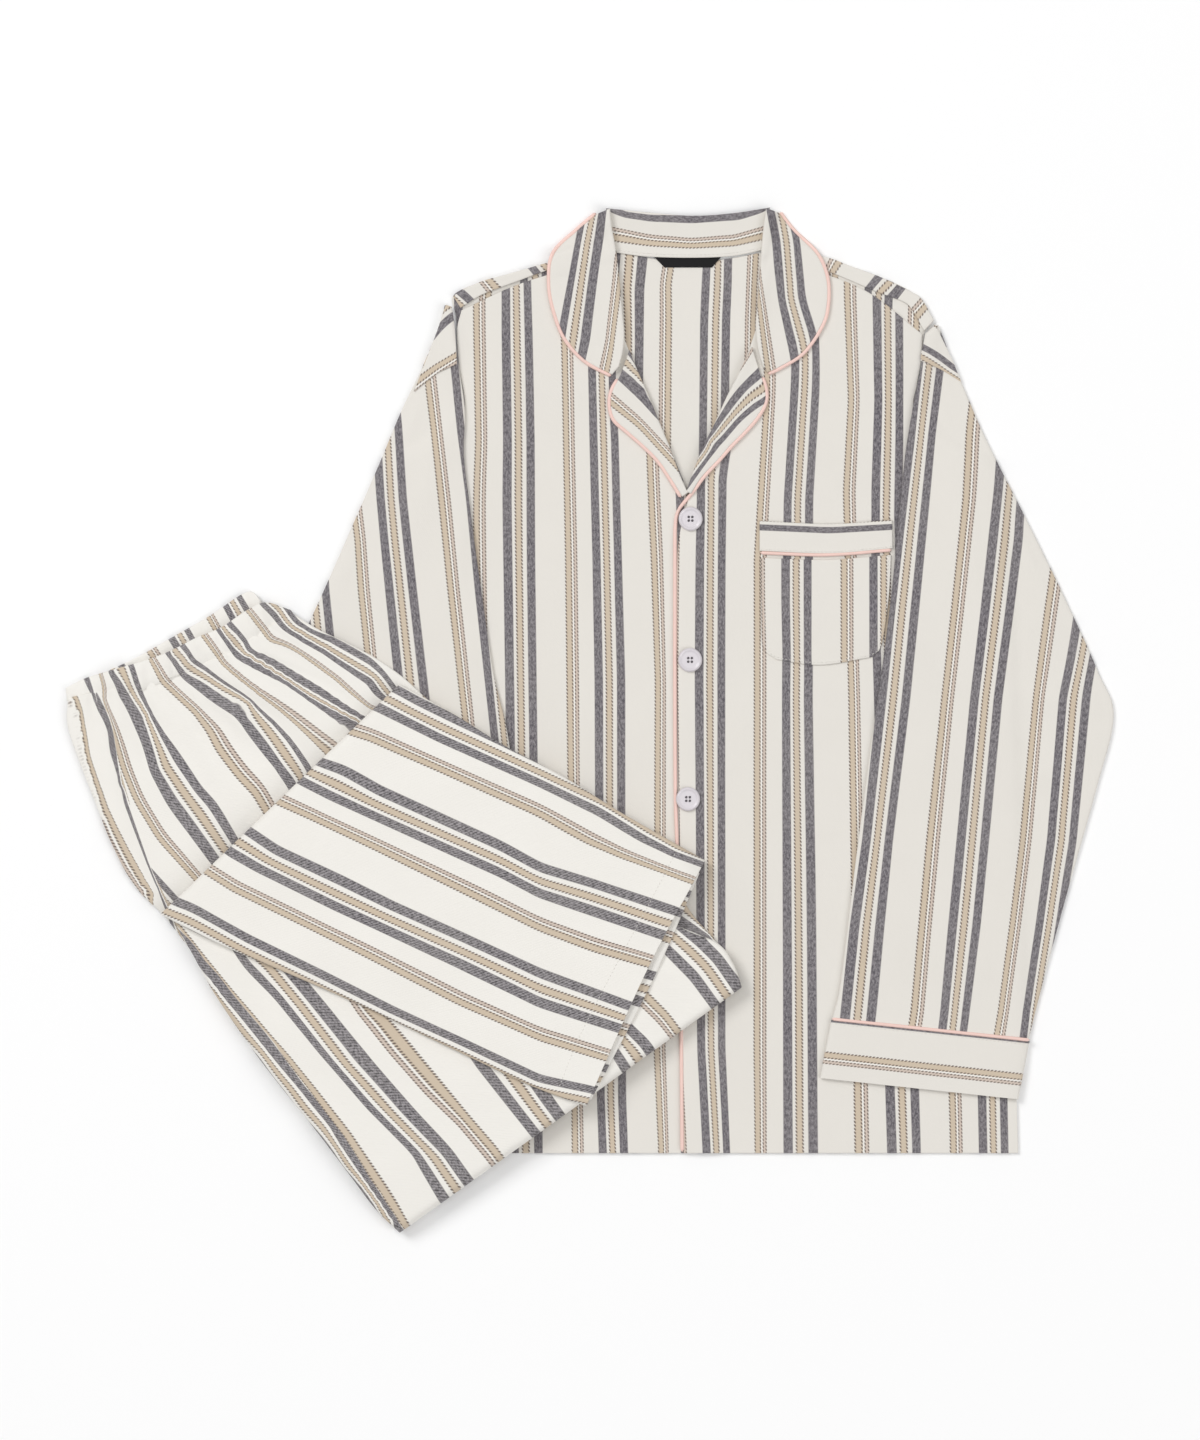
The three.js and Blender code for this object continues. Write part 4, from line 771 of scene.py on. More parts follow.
def pillow(name, lines, material, stripes, on=(), reach=0.012, grip=None, thickness=CLOTH, rim=0.0006,
           fold=None, relief=None, cell=0.003, open_end=False, wall=0.0, inset=(0, 0, 0), seam=None,
           seam_stripes=None):
    """A laid piece, closed all round: top = cloth draped on what is under it + thickness + relief, and the
    base follows what is under it more closely, by the grip.

    Towards each edge both faces meet at the middle of the two heights on quarter ellipses one rim wide. With
    a seam, one column of the grid runs along it and the cloth beyond has stripes of its own. With a wall, the
    piece is a hollow tube, and an open end isn't drawn together. It gives the piece, its upper face, and the
    width, length and area that it is cut to.
    """
    rough = plan_grid(lines, np.linspace(0, 1, 12), np.linspace(0, 1, 12))
    width = np.linalg.norm(np.diff(rough, axis=1), axis=2).sum(axis=1).max()
    length = np.linalg.norm(np.diff(rough, axis=0), axis=2).sum(axis=0).max()
    fold = fold or rim
    u, v = shares(width, rim, cell), shares(length, fold, cell)
    across = np.tile(u, (len(v), 1))
    split = None
    if seam is not None:
        split = int(np.searchsorted(u, 0.14))
        line = smooth_line(seam, 120)
        fine = plan_grid(lines, np.linspace(0, 1, 160), v)
        gaps = np.linalg.norm(fine[:, :, None] - line[None, None], axis=3).min(axis=2)
        place = np.linspace(0, 1, 160)[gaps.argmin(axis=1)]
        place = np.convolve(np.pad(place, 3, mode="edge"), np.ones(7) / 7, mode="valid")
        for k in range(len(v)):
            across[k] = np.interp(u, [0, u[split], 1], [0, place[k], 1])
    side_in, start_in, end_in = inset
    plan = plan_grid(lines, side_in + across * (1 - 2 * side_in), start_in + v * (1 - start_in - end_in))
    widths = np.linalg.norm(np.diff(plan, axis=1), axis=2)
    from_a = np.pad(np.cumsum(widths, axis=1), ((0, 0), (1, 0)))
    lengths = np.linalg.norm(np.diff(plan, axis=0), axis=2)
    from_start = np.pad(np.cumsum(lengths, axis=0), ((1, 0), (0, 0)))
    side = np.minimum(from_a, from_a[:, -1:] - from_a)
    full = rounded(side, rim) * rounded(from_start, fold)
    if not open_end:
        full = full * rounded(from_start[-1:] - from_start, fold)
    top = base = np.full(plan.shape[:-1], GAP)
    if on:
        top = sample(support(on, reach), plan) + GAP
        base = top if grip is None else np.minimum(sample(support(on, grip), plan) + GAP, top)
    lift = 0 if relief is None else relief(plan, from_a, from_start, side)
    top = top + thickness + lift
    if grip is None and thickness < 0.0016:
        base = base + lift
    middle, half = (top + base) / 2, (top - base) / 2
    upper, lower = middle + half * full, middle - half * full
    keep_height(name, plan, upper)

    count = upper.size
    over = np.arange(count).reshape(upper.shape)
    under = over + count
    under[:, 0], under[:, -1], under[0] = over[:, 0], over[:, -1], over[0]
    if not open_end:
        under[-1] = over[-1]
    points = np.vstack([np.dstack([plan, face]).reshape(-1, 3) for face in (upper, lower)])
    faces = np.vstack([grid_faces(over), grid_faces(under)[:, ::-1]])
    a, b, d = points[over[0, 0]], points[over[0, 1]], points[over[1, 0]]
    if (b - a)[0] * (d - a)[1] - (b - a)[1] * (d - a)[0] < 0:
        faces = faces[:, ::-1]

    flat_plan = points[:, :2]
    uv = stripe_field(stripes)(flat_plan)[faces]
    if seam is not None:
        columns = (np.arange(2 * count) % count) % upper.shape[1]
        beyond = columns[faces].max(axis=1) <= split
        uv[beyond] = stripe_field(seam_stripes)(flat_plan)[faces[beyond]]
    piece = make_mesh(name, points, faces, uv, material)
    if wall:
        shell = piece.modifiers.new("Wall", "SOLIDIFY")
        shell.thickness = wall
        shell.offset = -1
    down, right = plan[1:, :-1] - plan[:-1, :-1], plan[:-1, 1:] - plan[:-1, :-1]
    cells = np.abs(down[..., 0] * right[..., 1] - down[..., 1] * right[..., 0])
    return piece, np.dstack([plan, upper]), (width, length, float(cells.sum()))


def declare(piece, nodes, cut, sides=1):
    """Attaches the piece to the root body and hides its CAD nodes; the flat size and area that it was cut to
    are worked out but not used.
    """
    width, length, area = cut
    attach(piece, "root")
    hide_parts(*nodes)
    flat = (width * sides, length)
    area = min(max(area * sides, 0.31 * flat[0] * flat[1]), flat[0] * flat[1])


def finish_part(piece, nodes):
    """Attaches a piece that isn't a sheet to the root body and hides its CAD nodes."""
    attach(piece, "root")
    if nodes:
        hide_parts(*nodes)


def direction(path):
    """Unit steps along a path, from the difference between each point's neighbours."""
    step = np.gradient(path, axis=0)
    return step / np.linalg.norm(step, axis=1)[:, None]


def lengths_along(path):
    """Distance from the path's start to each of its points."""
    return np.concatenate([[0], np.cumsum(np.linalg.norm(np.diff(path, axis=0), axis=1))])


def tube(name, path, radius, material, sides=12):
    """Cord on a path: circles of the radius square to it, drawn in on a half circle at both ends."""
    step = direction(path)
    across = np.cross(step, [0.0, 0.0, 1.0])
    across /= np.linalg.norm(across, axis=1)[:, None]
    rise = np.cross(across, step)
    gaps = lengths_along(path)
    nearest = np.minimum(gaps, gaps[-1] - gaps)
    size = radius * np.maximum(rounded(nearest, radius), 0.02)
    angle = np.linspace(0, 2 * math.pi, sides, endpoint=False)[None, :, None]
    ring = across[:, None] * np.cos(angle) + rise[:, None] * np.sin(angle)
    points = (path[:, None] + ring * size[:, None, None]).reshape(-1, 3)
    count = len(path)
    numbers = np.arange(count * sides).reshape(count, sides)
    numbers = np.hstack([numbers, numbers[:, :1]])
    faces = grid_faces(numbers)
    turn = np.tile(np.linspace(0, 1, sides + 1), (count, 1))
    uv = np.stack([turn, np.tile(gaps[:, None], (1, sides + 1))], axis=2).reshape(-1, 2)
    corners = uv[grid_faces(np.arange(len(uv)).reshape(count, sides + 1))]
    mesh = bpy.data.meshes.new(name)
    polygons = faces.tolist() + [numbers[0, :-1][::-1].tolist(), numbers[-1, :-1].tolist()]
    mesh.from_pydata(points.tolist(), [], polygons)
    layer = mesh.uv_layers.new(name="Stripes")
    ends = np.zeros((2 * sides, 2))
    layer.data.foreach_set("uv", np.vstack([corners.reshape(-1, 2), ends]).astype(np.float32).ravel())
    mesh.shade_smooth()
    mesh.materials.append(material)
    face_out(mesh)
    return link(name, mesh)


def face_out(mesh):
    """Turns every face of a closed mesh outwards."""
    shape = bmesh.new()
    shape.from_mesh(mesh)
    bmesh.ops.recalc_face_normals(shape, faces=shape.faces)
    shape.to_mesh(mesh)
    shape.free()


def edge_path(line, out, down):
    """A cord's path beside a piece's edge line: moved out square to it in plan, and down from its height."""
    step = direction(line[:, :2])
    side = np.column_stack([step[:, 1], -step[:, 0]]) * out
    return np.column_stack([line[:, :2] + side, line[:, 2] - down])


def even_path(points, spacing):
    """The path with points an even distance apart, linear between its own."""
    gaps = lengths_along(points)
    places = np.linspace(0, gaps[-1], max(int(gaps[-1] / spacing), 2) + 1)
    return np.column_stack([np.interp(places, gaps, points[:, k]) for k in range(points.shape[1])])


def stitches(name, paths, names, material, pitch=0.0030, length=0.0021, width=0.00045, height=0.00035):
    """Rows of stitches: along each path, every pitch, one six-sided bead that lies on the named pieces."""
    field = support(names, 0)
    bead = np.array([
        (-0.5, 0, 0), (-0.2, -0.5, 0.3), (0.2, -0.5, 0.3), (0.5, 0, 0), (0.2, 0.5, 0.3), (-0.2, 0.5, 0.3),
        (-0.2, 0, 1.0), (0.2, 0, 1.0),
    ])
    corners = np.array([
        (0, 1, 6), (1, 2, 6), (2, 7, 6), (2, 3, 7), (3, 4, 7), (4, 5, 7), (5, 6, 7), (5, 0, 6), (0, 2, 1),
        (0, 3, 2), (0, 4, 3), (0, 5, 4),
    ])
    all_points, all_faces, start = [], [], 0
    for path in paths:
        line = even_path(path[:, :2], pitch)
        step = direction(line)
        side = np.column_stack([-step[:, 1], step[:, 0]])
        z = sample(field, line)
        plan = line[:, None] + step[:, None] * (bead[:, 0] * length)[None, :, None]
        plan = plan + side[:, None] * (bead[:, 1] * width)[None, :, None]
        rise = z[:, None] + (bead[:, 2] * height)[None, :] - height * 0.25
        all_points.append(np.dstack([plan, rise]).reshape(-1, 3))
        faces = corners[None] + (np.arange(len(line)) * len(bead))[:, None, None] + start
        all_faces.append(faces.reshape(-1, 3))
        start += len(line) * len(bead)
    piece = make_mesh(name, np.vstack(all_points), np.vstack(all_faces), None, material)
    face_out(piece.data)
    return piece


class NodeTree:
    """A new material and its nodes."""

    def __init__(self, name):
        """An empty Principled material of that name."""
        self.material = bpy.data.materials.new(name)
        self.material.use_nodes = True
        self.nodes = self.material.node_tree.nodes
        self.links = self.material.node_tree.links
        self.shader = self.nodes["Principled BSDF"]

    def add(self, kind, settings=None, **sockets):
        """A node with its settings, and values or links by socket: by name, or by number as i0, i1 and on."""
        node = self.nodes.new("ShaderNode" + kind)
        for key, value in (settings or {}).items():
            setattr(node, key, value)
        for key, value in sockets.items():
            self.set(node, key, value)
        return node

    def set(self, node, key, value):
        """Gives one socket a value or a link."""
        numbered = key[0] == "i" and key[1:].isdigit()
        socket = node.inputs[int(key[1:]) if numbered else key.replace("_", " ")]
        if isinstance(value, bpy.types.NodeSocket):
            self.links.new(value, socket)
        else:
            socket.default_value = value

    def math(self, operation, first, second=0.0, third=0.0):
        """The result of one sum on two or three values."""
        return self.add("Math", {"operation": operation}, i0=first, i1=second, i2=third).outputs[0]

    def sine(self, value, pitch):
        """A sine wave of a pitch in metres along a length."""
        return self.math("SINE", self.math("MULTIPLY", value, 2 * math.pi / pitch))

    def bump(self, height, strength, distance):
        """A bump of the height on the shader's normal."""
        node = self.add("Bump", Height=height, Strength=strength, Distance=distance)
        self.set(self.shader, "Normal", node.outputs[0])

    def mix(self, share, first, second):
        """The first colour turning into the second by the share."""
        node = self.add("Mix", {"data_type": "RGBA"})
        self.set(node, "i0", share)
        self.set(node, "i6", first)
        self.set(node, "i7", second)
        return node.outputs[2]

    def ramp(self, factor, stops):
        """A colour ramp with the stops."""
        node = self.add("ValToRGB", Fac=factor)
        elements = node.color_ramp.elements
        while len(elements) < len(stops):
            elements.new(1.0)
        for element, (place, colour) in zip(elements, stops):
            element.position = place
            element.color = colour
        return node.outputs["Color"]


def place_in_repeat(step):
    """A step of the stripes as a share of one repeat, which starts in the cream before the wide dark band."""
    return (step + REPEAT_START) / REPEAT


def band_stops(colours, soft=0.28):
    """Stops of one repeat: every band's colour up to its edge, and a short change to the next one's."""
    stops = [(0.0, colours["cream"])]
    before = colours["cream"]
    for name, edge in BAND_EDGES:
        stops += [(place_in_repeat(edge - soft), before), (place_in_repeat(edge + soft), colours[name])]
        before = colours[name]
    return stops


def mask_stops(bands, soft=0.25):
    """Stops that are white inside the bands and black elsewhere, in the same repeat."""
    stops = [(0.0, (0, 0, 0, 1))]
    for start, end in bands:
        for step, value in ((start - soft, 0), (start + soft, 1), (end - soft, 1), (end + soft, 0)):
            stops.append((place_in_repeat(step), (value, value, value, 1)))
    return stops


def striped_cloth(name, colours, repeat, twill):
    """Brushed cotton woven in stripes: bands from the first coordinate, dots and heather along the second."""
    tree = NodeTree(name)
    split = tree.add("SeparateXYZ", Vector=tree.add("UVMap", {"uv_map": "Stripes"}).outputs[0])
    across, along = split.outputs[0], split.outputs[1]
    metres = tree.math("MULTIPLY", across, repeat)
    yarns = tree.add("CombineXYZ", X=metres, Y=along).outputs[0]
    wander = tree.add("TexNoise", Vector=yarns, Scale=9.0, Detail=2.0).outputs[0]
    uneven = tree.math("MULTIPLY_ADD", wander, 0.006, -0.003)
    turn = tree.math("FRACT", tree.math("ADD", across, uneven))
    bands = tree.ramp(turn, band_stops(colours))
    darks = tree.ramp(turn, mask_stops(DARK_BANDS))
    dotted = tree.ramp(turn, mask_stops(DOTTED_BANDS))

    slant = tree.math("ADD", along, tree.math("MULTIPLY", metres, 0.9))
    dots = tree.add("MapRange", i0=tree.sine(slant, RIB_PITCH), i1=-0.75, i2=0.35).outputs[0]
    flecks = tree.add("Mapping", Vector=yarns, Scale=(1.0, 0.42, 1.0)).outputs[0]
    fleck = tree.add("TexNoise", Vector=flecks, Scale=800.0, Detail=2.0, Roughness=0.75).outputs[0]
    fleck = tree.add("MapRange", i0=fleck, i1=0.38, i2=0.62).outputs[0]
    ribs = tree.math("MULTIPLY_ADD", tree.sine(tree.math("ADD", along, metres), RIB_PITCH), 0.5, 0.5)
    light = tree.math("MULTIPLY_ADD", ribs, twill, tree.math("MULTIPLY", fleck, 0.62))
    heather = tree.mix(tree.math("MULTIPLY", darks, light), bands, colours["heather"])
    dot_share = tree.math("MULTIPLY", dotted, tree.math("MULTIPLY", dots, 0.95))
    dotted_cloth = tree.mix(dot_share, heather, colours["dot"])

    cloud = tree.add("TexNoise", Vector=yarns, Scale=16.0, Detail=3.0).outputs[0]
    shade = tree.add("MapRange", i0=cloud, i1=0.3, i2=0.7, i3=0.0, i4=0.10).outputs[0]
    weave = tree.math("MULTIPLY", tree.sine(metres, WEAVE_PITCH), tree.sine(along, WEAVE_PITCH))
    nap = tree.add("TexNoise", Vector=yarns, Scale=420.0, Detail=4.0, Roughness=0.65).outputs[0]
    height = tree.math("ADD", tree.math("MULTIPLY", weave, 0.25), tree.math("MULTIPLY", nap, 0.9))
    height = tree.math("ADD", height, tree.math("MULTIPLY", ribs, twill))
    rough = tree.add("MapRange", i0=nap, i1=0.3, i2=0.7, i3=0.84, i4=0.96).outputs[0]
    tree.set(tree.shader, "Base_Color", tree.mix(shade, dotted_cloth, colours["shade"]))
    tree.set(tree.shader, "Roughness", rough)
    tree.bump(height, 0.35, 0.00035)
    tree.shader.inputs["Sheen Weight"].default_value = 0.12
    tree.shader.inputs["Sheen Roughness"].default_value = 0.5
    tree.shader.inputs["Specular IOR Level"].default_value = 0.25
    return tree.material


def satin_cord(name, colour, dark):
    """Satin bias tape round a cord: fine slanting threads, in a tone that clouds towards a deeper one."""
    tree = NodeTree(name)
    place = tree.add("UVMap", {"uv_map": "Stripes"}).outputs[0]
    split = tree.add("SeparateXYZ", Vector=place)
    turn = tree.math("MULTIPLY", split.outputs[0], 0.006)
    slant = tree.math("ADD", turn, split.outputs[1])
    threads = tree.math("MULTIPLY_ADD", tree.sine(slant, CORD_PITCH), 0.5, 0.5)
    tone = tree.add("TexNoise", Vector=place, Scale=40.0, Detail=2.0).outputs[0]
    share = tree.math("MULTIPLY_ADD", threads, 0.22, tree.math("MULTIPLY", tone, 0.25))
    tree.set(tree.shader, "Base_Color", tree.mix(share, colour, dark))
    tree.bump(threads, 0.3, 0.0001)
    tree.shader.inputs["Roughness"].default_value = 0.45
    tree.shader.inputs["Sheen Weight"].default_value = 0.15
    return tree.material


def plain_yarn(name, colour, dark, scale, rough):
    """Thread or woven tape of one colour: fine noise in tone and height on object coordinates."""
    tree = NodeTree(name)
    place = tree.add("TexCoord").outputs["Object"]
    tone = tree.add("TexNoise", Vector=place, Scale=scale, Detail=3.0).outputs[0]
    tree.set(tree.shader, "Base_Color", tree.mix(tone, colour, dark))
    tree.bump(tone, 0.4, 0.0001)
    tree.shader.inputs["Roughness"].default_value = rough
    tree.shader.inputs["Specular IOR Level"].default_value = 0.2
    return tree.material


def moulded_button(name, colour, dark):
    """Pale moulded plastic: faint cloudy tone, painted shade darkening the holes by the hole attribute, with
    a soft gloss.
    """
    tree = NodeTree(name)
    place = tree.add("TexCoord").outputs["Object"]
    cloud = tree.add("TexNoise", Vector=place, Scale=160.0, Detail=3.0).outputs[0]
    pale = tree.mix(tree.math("MULTIPLY", cloud, 0.35), colour, (0.62, 0.6, 0.61, 1))
    # Painted shade: the hole attribute turns the holes' wells to the dark colour.
    hole = tree.add("Attribute", {"attribute_name": "hole"}).outputs["Fac"]
    tree.set(tree.shader, "Base_Color", tree.mix(hole, pale, dark))
    tree.shader.inputs["Roughness"].default_value = 0.34
    tree.shader.inputs["Coat Weight"].default_value = 0.2
    tree.shader.inputs["Coat Roughness"].default_value = 0.12
    return tree.material


def srgb(red, green, blue):
    """Screen values from 0 to 255 as the linear colour that a shader takes."""
    share = np.array([red, green, blue]) / 255
    linear = np.where(share <= 0.04045, share / 12.92, ((share + 0.055) / 1.055) ** 2.4)
    return tuple(float(value) for value in linear)


def opaque(red, green, blue):
    """Screen values as a linear colour with full opacity."""
    return (*srgb(red, green, blue), 1)


def measure(name, description, default):
    """A length that a user can change."""
    return FloatProperty(name=name, description=description, default=default, unit="LENGTH")


def tint(name, description, *screen):
    """A colour that a user can change, from its screen values."""
    return FloatVectorProperty(name=name, description=description, subtype="COLOR", default=srgb(*screen))


class PyjamaSizes(bpy.types.PropertyGroup):
    """Sizes of the cloth, cord and buttons."""

    cloth: measure("Cloth", "Thickness of one layer of cotton", CLOTH)
    sleeve: measure("Sleeve", "Height of a sleeve laid flat", 0.0030)
    cuff: measure("Cuff", "Height of a turned cuff", 0.0034)
    leaf: measure("Collar leaf", "Thickness of a collar leaf or lapel", 0.0022)
    roll: measure("Collar roll", "Rise of the collar where it rolls over", 0.0026)
    piping: measure("Piping", "Radius of the corded piping", 0.0014)
    button: measure("Button", "Radius of a button", 0.0090)
    leg: measure("Leg", "Height of one trouser leg laid flat", 0.0026)
    weave: measure("Repeat", "Width of one repeat of the top's stripes", 0.0644)


class PyjamaColours(bpy.types.PropertyGroup):
    """Colours of the yarns, trims and floor."""

    cream: tint("Cream", "Ground of the top", 226, 222, 215)
    trouser: tint("Trouser cream", "Ground of the trousers", 237, 234, 228)
    dark: tint("Charcoal", "Dark stripes of the top", 84, 80, 86)
    heather: tint("Heather", "Flecks in the dark stripes", 162, 157, 160)
    tan: tint("Tan", "Tan stripes", 203, 187, 166)
    thin: tint("Thin stripe", "Thin dotted stripe", 205, 190, 178)
    dot: tint("Dots", "Dots along the tan stripes", 92, 76, 70)
    piping: tint("Piping", "Pink satin cord", 240, 208, 199)
    button: tint("Button", "Pale plastic", 216, 210, 215)
    label: tint("Label", "Black woven tape", 22, 21, 22)
    floor: tint("Floor", "Pale floor", 248, 248, 248)


def sizes():
    """The scene's sizes."""
    return bpy.context.scene.pyjama_sizes


def colour(name):
    """One of the scene's colours with full opacity."""
    return (*getattr(bpy.context.scene.pyjama_colours, name), 1.0)


def finish(name):
    """The named material, made once."""
    ready = bpy.data.materials.get(name)
    if ready:
        return ready
    yarns = {key: colour(key) for key in ("tan", "thin", "dot", "heather", "dark")}
    yarns["white"] = colour("trouser")
    top = yarns | {"cream": colour("cream"), "shade": (0.62, 0.59, 0.54, 1)}
    legs = yarns | {"cream": colour("trouser"), "shade": (0.64, 0.61, 0.55, 1), "dark": opaque(44, 42, 46)}
    makers = {
        "top_cloth": lambda: striped_cloth(name, top, sizes().weave, 0.0),
        "trouser_twill": lambda: striped_cloth(name, legs, TROUSER_REPEAT, TWILL),
        "pink_satin": lambda: satin_cord(name, colour("piping"), opaque(232, 190, 178)),
        "white_thread": lambda: plain_yarn(name, opaque(240, 238, 232), opaque(214, 210, 203), 900.0, 0.7),
        "label_tape": lambda: plain_yarn(name, colour("label"), opaque(26, 25, 26), 1400.0, 0.7),
        # The button's dark colour is painted shade inside its four holes.
        "button_plastic": lambda: moulded_button(name, colour("button"), opaque(104, 98, 104)),
        "floor_paper": lambda: plain_yarn(name, colour("floor"), colour("floor"), 60.0, 0.9),
    }
    return makers[name]()


def calm(height, length, seed, creases=()):
    """Relief of a laid panel: its creases and low waves, eased away at its edges."""
    def relief(plan, from_a, from_start, side):
        ease = np.clip(side / 0.012, 0.15, 1)
        return (creases_at(plan, creases) + waves_at(plan, height, length, seed)) * ease

    return relief


def rolled(rise, width, seed, wave=0.0004):
    """Relief of a turned piece: rise * exp(-(distance from edge a / width) ** 2), with low waves."""
    def relief(plan, from_a, from_start, side):
        return rise * np.exp(-((from_a / width) ** 2)) + waves_at(plan, wave, 0.05, seed)

    return relief


def gathers(height, count, seed, fade=None):
    """Ripples of gathered cloth: height * sin ** 2 of an unevenly spaced turn along the gathered edge, each
    of its own size, times exp(-distance / fade) from that edge.
    """
    chance = np.random.default_rng(seed)
    knots = np.cumsum(chance.uniform(0.55, 1.45, count + 1))
    knots = (knots - knots[0]) / (knots[-1] - knots[0])

    def ripple(place, far):
        turn = np.interp(place, knots, np.arange(count + 1))
        size = 0.6 + 0.4 * np.sin(turn * 2.3 + seed)
        return height * size * np.sin(turn * math.pi) ** 2 * (1 if fade is None else np.exp(-far / fade))

    return ripple


class PYJAMA_OT_back(bpy.types.Operator):
    """Back panel, its two shoulder strips and the neck label."""

    bl_idname = "pyjama.back"
    bl_label = "Back"

    def execute(self, context):
        cloth = finish("top_cloth")
        back, _, cut = pillow("back", BACK_ROWS, cloth, BACK_GUIDES, thickness=sizes().cloth, cell=0.005)
        label, _, _ = pillow(
            "label", LABEL_ROWS, finish("label_tape"), BACK_GUIDES, on=("back",), thickness=0.0006,
            rim=0.0003, cell=FINE_CELL)
        finish_part(label, ["neck_label"])
        declare(back, ["top_back"], cut)
        for side, (lines, stripes) in SHOULDERS.items():
            strip, _, cut = pillow(
                f"shoulder_{side}", lines, cloth, stripes, on=("back",), thickness=0.0016, rim=0.0009,
                relief=rolled(0.0006, 0.004, 3), cell=FINE_CELL)
            declare(strip, ["top_back"], cut)
        return {"FINISHED"}


class PYJAMA_OT_fronts(bpy.types.Operator):
    """The two fronts, the one on the right lapping over."""

    bl_idname = "pyjama.fronts"
    bl_label = "Fronts"

    def execute(self, context):
        cloth = finish("top_cloth")
        for side, (lines, stripes, on, seed) in FRONTS.items():
            front, _, cut = pillow(
                f"front_{side}", lines, cloth, stripes, on=on, thickness=sizes().cloth, cell=0.0032,
                relief=calm(0.0007, 0.11, seed, FRONT_CREASES))
            declare(front, [f"top_front_{side}"], cut)
        return {"FINISHED"}


class PYJAMA_OT_sleeves(bpy.types.Operator):
    """Sleeves, each one tube laid flat, their heads where the back rolls forward, and the piped cuffs."""

    bl_idname = "pyjama.sleeves"
    bl_label = "Sleeves"

    def execute(self, context):
        cloth = finish("top_cloth")
        body = ("back", "front_left", "front_right")
        for side, out in SIDES.items():
            name = f"sleeve_{side}"
            lines, stripes, creases = SLEEVES[side]
            sleeve, _, cut = pillow(
                name, lines, cloth, stripes, on=body, reach=0.016, grip=CLOSE, thickness=sizes().sleeve,
                rim=0.0017, relief=calm(0.0006, 0.09, 8, creases), wall=WALL, open_end=True)
            declare(sleeve, [name], cut, sides=2)
            lines, stripes = HEADS[side]
            head, _, cut = pillow(
                f"{name}_head", lines, cloth, stripes, on=(name,), reach=0.003, cell=0.0016, thickness=0.0005,
                rim=0.0004)
            declare(head, [name], cut)
            lines, stripes = CUFFS[side]
            cuff, top, cut = pillow(
                f"cuff_{side}", lines, cloth, stripes, on=body, reach=0.016, grip=CLOSE, rim=0.0018,
                thickness=sizes().cuff, fold=0.0008, relief=calm(0.0003, 0.05, 9), wall=0.0009, open_end=True)
            path = edge_path(even_path(top[0], CORD_STEP), 0.0009 * out, 0)
            path[:, 2] = np.median(top[4, :, 2]) - 0.0002
            cord = tube(f"piping_cuff_{side}", path, TRIM_CORD, finish("pink_satin"))
            finish_part(cord, [f"piping_cuff_{side}"])
            declare(cuff, [f"cuff_{side}"], cut, sides=2)
        return {"FINISHED"}


def piped_edge(top, radius, out):
    """Path of the cord along edge b of a collar piece: its outline, at the height just inside it."""
    line = even_path(np.column_stack([top[:, -1, :2], top[:, -5, 2]]), CORD_STEP)
    return edge_path(line, radius * 0.7 * out, radius * 0.9)


class PYJAMA_OT_collar(bpy.types.Operator):
    """The collar's inside at the neck, its two rolled leaves, the lapels and their piping."""

    bl_idname = "pyjama.collar"
    bl_label = "Collar"

    def execute(self, context):
        cloth, satin = finish("top_cloth"), finish("pink_satin")
        radius = sizes().piping
        stand, _, cut = pillow(
            "collar_back", COLLAR_BACK_ROWS, cloth, COLLAR_BACK_GUIDES, on=("back", "label"),
            thickness=0.0014, rim=0.0012, relief=rolled(0.0028, 0.016, 2, 0.0002), cell=FINE_CELL)
        declare(stand, ["collar"], cut)
        body = ("back", "front_left", "front_right", "shoulder_left", "shoulder_right", "collar_back")
        for side, out in SIDES.items():
            lines, stripes = LEAVES[side]
            leaf, top, cut = pillow(
                f"leaf_{side}", lines, cloth, stripes, on=body, reach=0.008, grip=0.003, cell=FINE_CELL,
                thickness=sizes().leaf, rim=0.0010, relief=rolled(sizes().roll, 0.008, 4))
            cord = tube(f"piping_leaf_{side}", piped_edge(top, radius, out), radius, satin)
            finish_part(cord, [f"piping_collar_{side}"])
            declare(leaf, ["collar"], cut)
        for side, out in SIDES.items():
            lines, stripes = LAPELS[side]
            lapel, top, cut = pillow(
                f"lapel_{side}", lines, cloth, stripes, on=body[:5], reach=0.006, grip=0.003, cell=FINE_CELL,
                thickness=sizes().leaf, rim=0.0010, relief=rolled(0.0012, 0.007, 7))
            path = piped_edge(top, radius, out)
            if side == "right":
                placket = smooth_line(PLACKET_PIPING, 180) + np.array([0.0016, 0])
                rise = sample(support(("front_right", "front_left"), 0.004), placket) + 0.0002
                path = np.vstack([path[:-3], np.column_stack([placket, rise])])
                path = even_path(path, CORD_STEP)
                for _ in range(4):
                    path[1:-1] = (path[:-2] + 2 * path[1:-1] + path[2:]) / 4
            cord = tube(f"piping_front_{side}", path, radius, satin)
            finish_part(cord, [f"piping_front_{side}"])
            declare(lapel, [f"lapel_{side}"], cut)
        return {"FINISHED"}


